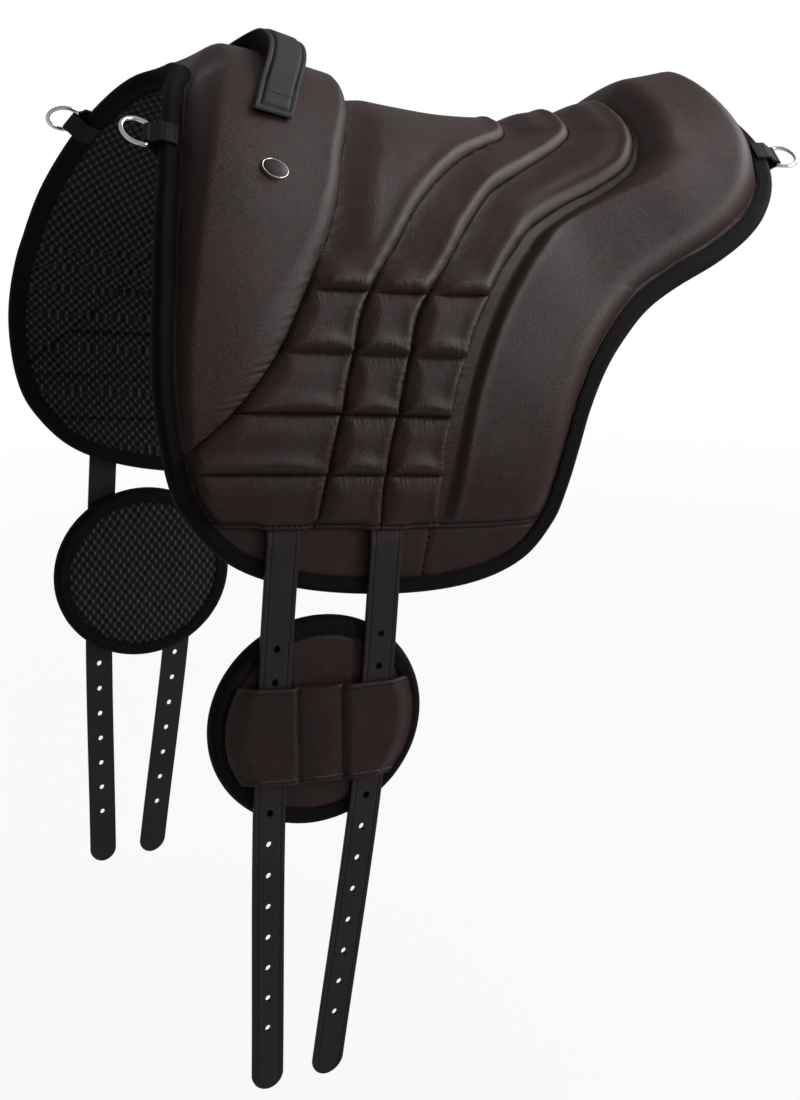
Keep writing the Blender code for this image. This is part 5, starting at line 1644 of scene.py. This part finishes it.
# The buckle guards, one each side: a leather face and a mesh back over foam, bound with tape, and
# a leather sleeve sewn across the face, under which the two girth straps of that side run.
GUARD_X = -0.217
GUARD_HALF_LENGTH = 0.085
GUARD_HALF_HEIGHT = 0.0815
GUARD_FACE_THICKNESS = 0.0020
GUARD_FOAM_THICKNESS = 0.0070
GUARD_LINING_THICKNESS = 0.0025
GUARD_BINDING_LEG = 0.013
GUARD_SIDES = 240
GUARD_RINGS = 60
GUARD_PUFF = 0.0011
GUARD_PUFF_ROLL = 0.022
GUARD_BULGE = 0.0012
GUARD_BULGE_FADE = 0.008
GUARD_FACE_SINK = 0.0004
GUARD_BACK_PUFF = 0.0012
GUARD_BACK_ROLL = 0.03
GUARD_TAPE_INSIDE = 0.0115
SLEEVE_HALF_HEIGHT = 0.038
SLEEVE_DROP = 0.0065
SLEEVE_THICKNESS = 0.0018
SLEEVE_STITCH_GAP = 0.035
SLEEVE_TUCK = 0.010
SLEEVE_SAG = 0.0022
SLEEVE_TILT = -0.085
SLEEVE_FIT_STEPS = 6
SLEEVE_CLIMB = 0.0062
SLEEVE_SEWN_EDGE = 0.0015
SLEEVE_HEM = 0.0042
SLEEVE_HEM_RISE = 0.0010
SLEEVE_SEWN_HEIGHT = 0.0030
SLEEVE_FALL = 0.016
SLEEVE_SWELL = 0.0022
SLEEVE_LINE_SET = 0.0012
SLEEVE_LINE_SINK = 0.0004
SLEEVE_SEAM_SINK = 0.0007
SLEEVE_ROWS = 90


def oval_disc(name, half_length, half_height, centre, side, outer, inner, material, cloth=False):
    """A round layer of the guard: its outer and inner faces are functions of (u, v)."""
    radii = np.linspace(0.0, 1.0, GUARD_RINGS)[1:]
    angles = 2 * math.pi * np.arange(GUARD_SIDES) / GUARD_SIDES
    u = radii[:, None] * half_length * np.cos(angles)[None, :]
    v = radii[:, None] * half_height * np.sin(angles)[None, :]
    u = np.concatenate([[0.0], u.ravel()])
    v = np.concatenate([[0.0], v.ravel()])
    points = []
    for face in (outer, inner):
        away = np.broadcast_to(side * face(u, v), u.shape)
        points.append(np.column_stack([centre[0] + u, away, centre[1] + v]))
    count = len(u)
    faces = []
    rings = GUARD_RINGS - 1
    for j in range(GUARD_SIDES):
        k = (j + 1) % GUARD_SIDES
        for start, order in ((0, 1), (count, -1)):
            faces.append([start, start + 1 + j, start + 1 + k][::order])
            for i in range(rings - 1):
                a = start + 1 + i * GUARD_SIDES
                b = a + GUARD_SIDES
                faces.append([a + j, b + j, b + k, a + k][::order])
        last = 1 + (rings - 1) * GUARD_SIDES
        faces.append([last + j, last + count + j, last + count + k, last + k])
    piece = mesh_piece(name, np.concatenate(points), faces, material)
    outward(piece.data)
    if cloth:
        spread_cloth(piece, np.concatenate([np.column_stack([u, v])] * 2))
    return piece


def inside_rim(u, v, half_length, half_height):
    """How far inside an oval's rim a place is, beyond what the tape covers."""
    away = (1.0 - np.hypot(u / half_length, v / half_height)) * (half_length + half_height) / 2
    return np.maximum(away - GUARD_TAPE_INSIDE, 0.0)


def make_guard(word, side):
    body = word + "_guard"
    rim_y = STRAP_INNER_Y - LAYER_GAP
    face_y = rim_y - BINDING_THICKNESS - LAYER_GAP
    foam_y = face_y - GUARD_FACE_THICKNESS - LAYER_GAP
    mesh_y = foam_y - GUARD_FOAM_THICKNESS - LAYER_GAP
    back_y = mesh_y - GUARD_LINING_THICKNESS
    rim = BINDING_THICKNESS + LAYER_GAP * 3
    centre = (GUARD_X, GUARD_Z)
    inner_length = GUARD_HALF_LENGTH - rim
    inner_height = GUARD_HALF_HEIGHT - rim

    def face_outer(u, v):
        puff = roll(inside_rim(u, v, inner_length, inner_height), GUARD_PUFF_ROLL)
        gap = np.min([np.abs(u - (xs[1] - GUARD_X)) for xs in (FRONT_STRAP_X, REAR_STRAP_X)], axis=0)
        between = ease((gap - STRAP_WIDTH / 2) / GUARD_BULGE_FADE)
        points = np.column_stack([u, v, np.full(len(u), side * 0.3)])
        puff = (GUARD_PUFF + GUARD_BULGE * between) * puff
        return face_y - GUARD_FACE_SINK + puff + unevenness(points, 0.03) * 0.0001

    face = oval_disc("guard_face_leather_" + word, inner_length, inner_height, centre, side,
                     face_outer, lambda u, v: face_y - GUARD_FACE_THICKNESS, hide)
    belongs(face, body, "leather", "guard_face_" + word)

    core = oval_disc("guard_core_" + word, inner_length - rim, inner_height - rim, centre, side,
                     lambda u, v: foam_y, lambda u, v: foam_y - GUARD_FOAM_THICKNESS, foam)
    belongs(core, body, "foam", "guard_foam_" + word)

    def back_outer(u, v):
        puff = roll(inside_rim(u, v, inner_length, inner_height), GUARD_BACK_ROLL)
        return back_y - GUARD_BACK_PUFF * puff

    back = oval_disc("guard_mesh_" + word, inner_length, inner_height, centre, side,
                     lambda u, v: mesh_y, back_outer, mesh_knit, True)
    belongs(back, body, "mesh", "guard_lining_" + word)

    angles = 2 * math.pi * np.arange(GUARD_SIDES) / GUARD_SIDES
    rim_u = GUARD_HALF_LENGTH * np.cos(angles)
    rim_v = GUARD_HALF_HEIGHT * np.sin(angles)
    inward = -np.column_stack([rim_u / GUARD_HALF_LENGTH ** 2, rim_v / GUARD_HALF_HEIGHT ** 2])
    inward /= np.linalg.norm(inward, axis=1)[:, None]
    section = np.array(folded_section(GUARD_BINDING_LEG, BINDING_THICKNESS, rim_y,
                                      back_y - LAYER_GAP - BINDING_THICKNESS,
                                      face_y + 0.0001, back_y - 0.0001))
    wobble = 1.0 + 0.03 * np.sin(angles * 11.0 + side) * np.sin(angles * 4.0)
    depth = section[None, :, 0] * wobble[:, None]
    table = np.stack([GUARD_X + rim_u[:, None] + inward[:, :1] * depth,
                      np.broadcast_to(side * section[None, :, 1], depth.shape),
                      GUARD_Z + rim_v[:, None] + inward[:, 1:] * depth], axis=-1)
    run = angles * (GUARD_HALF_LENGTH + GUARD_HALF_HEIGHT) / 2
    cloth = cloth_grid(run, path_lengths(section))
    band = swept_loop("guard_tape_" + word, table, cloth, tape)
    belongs(band, body, "binding", "guard_binding_" + word)

    set_in = GUARD_BINDING_LEG - TAPE_STITCH_SET
    thread_rise = BINDING_THICKNESS + 0.0002
    lines = []
    for height, way in ((face_y + thread_rise, side), (back_y - thread_rise, -side)):
        loop = np.column_stack([GUARD_X + rim_u + inward[:, 0] * set_in,
                                np.full(GUARD_SIDES, side * height),
                                GUARD_Z + rim_v + inward[:, 1] * set_in])
        loop = np.vstack([loop, loop[:1]])
        lines.append(flat_line(loop, [0.0, float(way), 0.0]))
    sewn("guard_tape_stitches_" + word, body, lines)

    make_sleeve(word, side, body, rim_y, face_y)


def make_sleeve(word, side, body, rim_y, face_y):
    """The sleeve: tucked under the tape at both ends, sewn down twice between the straps."""
    tuck_length = GUARD_HALF_LENGTH - SLEEVE_TUCK
    tuck_height = GUARD_HALF_HEIGHT - SLEEVE_TUCK
    rows = np.linspace(-1.0, 1.0, SLEEVE_ROWS)
    v_low = -SLEEVE_HALF_HEIGHT - SLEEVE_DROP
    v_high = SLEEVE_HALF_HEIGHT - SLEEVE_DROP
    middle_v = (v_low + v_high) / 2 + rows * (v_high - v_low) / 2
    share = np.linspace(-1.0, 1.0, 161)
    ends = [np.full(len(rows), tuck_length)] * 2
    for _ in range(SLEEVE_FIT_STEPS):
        ends = [tuck_length * np.sqrt(1.0 - ((middle_v + way * SLEEVE_TILT * end) / tuck_height) ** 2)
                for way, end in zip((-1, 1), ends)]
    reach = np.where(share[None, :] < 0.0, ends[0][:, None], ends[1][:, None])
    u = reach * share[None, :]
    sag = SLEEVE_SAG * (share ** 2 - 0.45)
    v = middle_v[:, None] + sag[None, :] * np.abs(rows)[:, None] * np.where(rows > 0, 1.0, 0.7)[:, None]
    v = v + SLEEVE_TILT * u
    seat = rim_y + LAYER_GAP
    sewn_y = face_y + SLEEVE_SEWN_HEIGHT
    crest = STRAP_OUTER_Y + 2 * STRAP_CLEARANCE
    half_gap = SLEEVE_STITCH_GAP / 2
    distance = np.abs(u)
    climb = np.sin(np.clip((distance - half_gap) / SLEEVE_CLIMB, 0.0, 1.0) * math.pi / 2.0)
    fall = ease((distance - (reach - SLEEVE_FALL)) / SLEEVE_FALL)
    base = seat + (crest - seat) * climb * (1.0 - fall)
    inner = sewn_y + (base - sewn_y) * np.clip((distance - half_gap) / SLEEVE_SEWN_EDGE, 0.0, 1.0)
    edge_gap = np.minimum(rows + 1.0, 1.0 - rows) * (v_high - v_low) / 2
    hem = SLEEVE_HEM_RISE * (1.0 - ease((edge_gap - SLEEVE_HEM) / 0.0009))
    line = SLEEVE_LINE_SINK * bell(edge_gap - SLEEVE_HEM + SLEEVE_LINE_SET, SLEEVE_LINE_SET / 2)
    stitched = SLEEVE_SEAM_SINK * bell(distance - half_gap, 0.0013)
    swell = SLEEVE_SWELL * (1.0 - (distance / half_gap) ** 2).clip(0.0)
    points = np.stack([u, v, np.full(u.shape, 0.2 * side)], axis=-1)
    outer = inner + SLEEVE_THICKNESS + hem[:, None] - line[:, None] - stitched + swell
    outer = outer + unevenness(points, 0.028) * 0.00018
    outer = inner + (outer - inner) * roll(edge_gap + 0.0002, 0.0010)[:, None]
    over = np.stack([GUARD_X + u, side * outer, GUARD_Z + v], axis=-1)
    under = np.stack([GUARD_X + u, side * inner, GUARD_Z + v], axis=-1)
    sleeve = grid_mesh("guard_sleeve_leather_" + word, over, under, hide, sharp=60.0)
    outward(sleeve.data)
    belongs(sleeve, body, "leather", "guard_sleeve_" + word)

    outwards = [0.0, float(side), 0.0]
    lines = []
    for way in (-1, 1):
        nearest = np.argmin(np.abs(u - way * half_gap), axis=1)
        path = over[np.arange(SLEEVE_ROWS), nearest][2:-2]
        path[:, 0] = GUARD_X + way * half_gap
        lines.append(flat_line(path, outwards))
    low = int(np.argmin(np.abs(edge_gap[:SLEEVE_ROWS // 2] - SLEEVE_HEM + SLEEVE_LINE_SET)))
    for row in (low, SLEEVE_ROWS - 1 - low):
        path = over[row, 6:-6]
        lines.append(flat_line(path, outwards))
    sewn("guard_sleeve_stitches_" + word, body, lines, pitch=0.0036, length=0.0029, width=FINE_THREAD)


for side, word in SIDES:
    make_guard(word, side)


# The plain plate on the near side of the pommel: a small blank oval of dark enamel in a polished
# rim, pinned to the leather.
PLATE_X = -0.220
PLATE_LEVEL = 2.55
PLATE_HALF_LENGTH = 0.0105
PLATE_HALF_HEIGHT = 0.0088
PLATE_RIM = 0.0007
PLATE_THICKNESS = 0.0016
PLATE_SUNK = 0.0006
PLATE_SIDES = 96
ENAMEL_DARK = (14, 6, 7)
ENAMEL_LIGHT = (30, 13, 14)


def enamel_material():
    material, flow = new_material("dark_enamel")
    cloud = noise(flow, object_place(flow), 120.0)
    colour = cloud.mix(colour_of(ENAMEL_DARK), colour_of(ENAMEL_LIGHT))
    close_material(flow, colour, 0.24 + 0.1 * cloud, cloud, 0.05, 0.0002, Specular_IOR_Level=0.2)
    return material


seat_height = float(np.max([pommel_top(np.array([PLATE_X + away]), np.array([PLATE_LEVEL]))
                            for away in (-0.006, 0.0, 0.006)]))
plate_place = pad_point(PLATE_X, -PLATE_LEVEL, seat_height)
plate_normal = back_frame(PLATE_X, -PLATE_LEVEL)[0]
plate_along = back_point(PLATE_X + X_STEP, -PLATE_LEVEL) - back_point(PLATE_X - X_STEP, -PLATE_LEVEL)
plate_along /= np.linalg.norm(plate_along)
plate_up = np.cross(plate_normal, plate_along)
angles = 2 * math.pi * np.arange(PLATE_SIDES) / PLATE_SIDES


def plate_rings(profile):
    """Rings of points for (share of the size, height) pairs."""
    rings = []
    for share, height in profile:
        u = (PLATE_HALF_LENGTH - share) * np.cos(angles)[:, None]
        v = (PLATE_HALF_HEIGHT - share) * np.sin(angles)[:, None]
        rings.append(plate_place + plate_along * u + plate_up * v + plate_normal * height)
    return np.array(rings)


half_rim = PLATE_RIM / 2
rim_profile = [(0.0, -PLATE_SUNK)]
rim_profile += [(half_rim * (1.0 - math.cos(a)), PLATE_THICKNESS * 0.75 + half_rim * math.sin(a))
                for a in np.linspace(0.0, math.pi, 9)]
rim_profile += [(PLATE_RIM, -PLATE_SUNK)]
table = plate_rings(rim_profile).transpose(1, 0, 2)
rim_piece = swept_loop("plate_rim", table, np.zeros(table.shape[:2] + (2,)), steel)
belongs(rim_piece, "pad", "steel")
field_profile = [(PLATE_RIM * 0.8, -0.0004), (PLATE_RIM * 0.8, PLATE_THICKNESS * 0.7),
                 (0.003, PLATE_THICKNESS * 0.85), (0.006, PLATE_THICKNESS * 0.92)]
rings = plate_rings(field_profile)
rows = range(len(field_profile))
faces = [[i * PLATE_SIDES + j, i * PLATE_SIDES + (j + 1) % PLATE_SIDES,
          (i + 1) * PLATE_SIDES + (j + 1) % PLATE_SIDES, (i + 1) * PLATE_SIDES + j]
         for i in rows[:-1] for j in range(PLATE_SIDES)]
faces += [[i * PLATE_SIDES + j for j in range(PLATE_SIDES)] for i in (rows[0], rows[-1])]
field = mesh_piece("plate_field", rings.reshape(-1, 3), faces, enamel_material())
outward(field.data)
belongs(field, "pad", "steel")
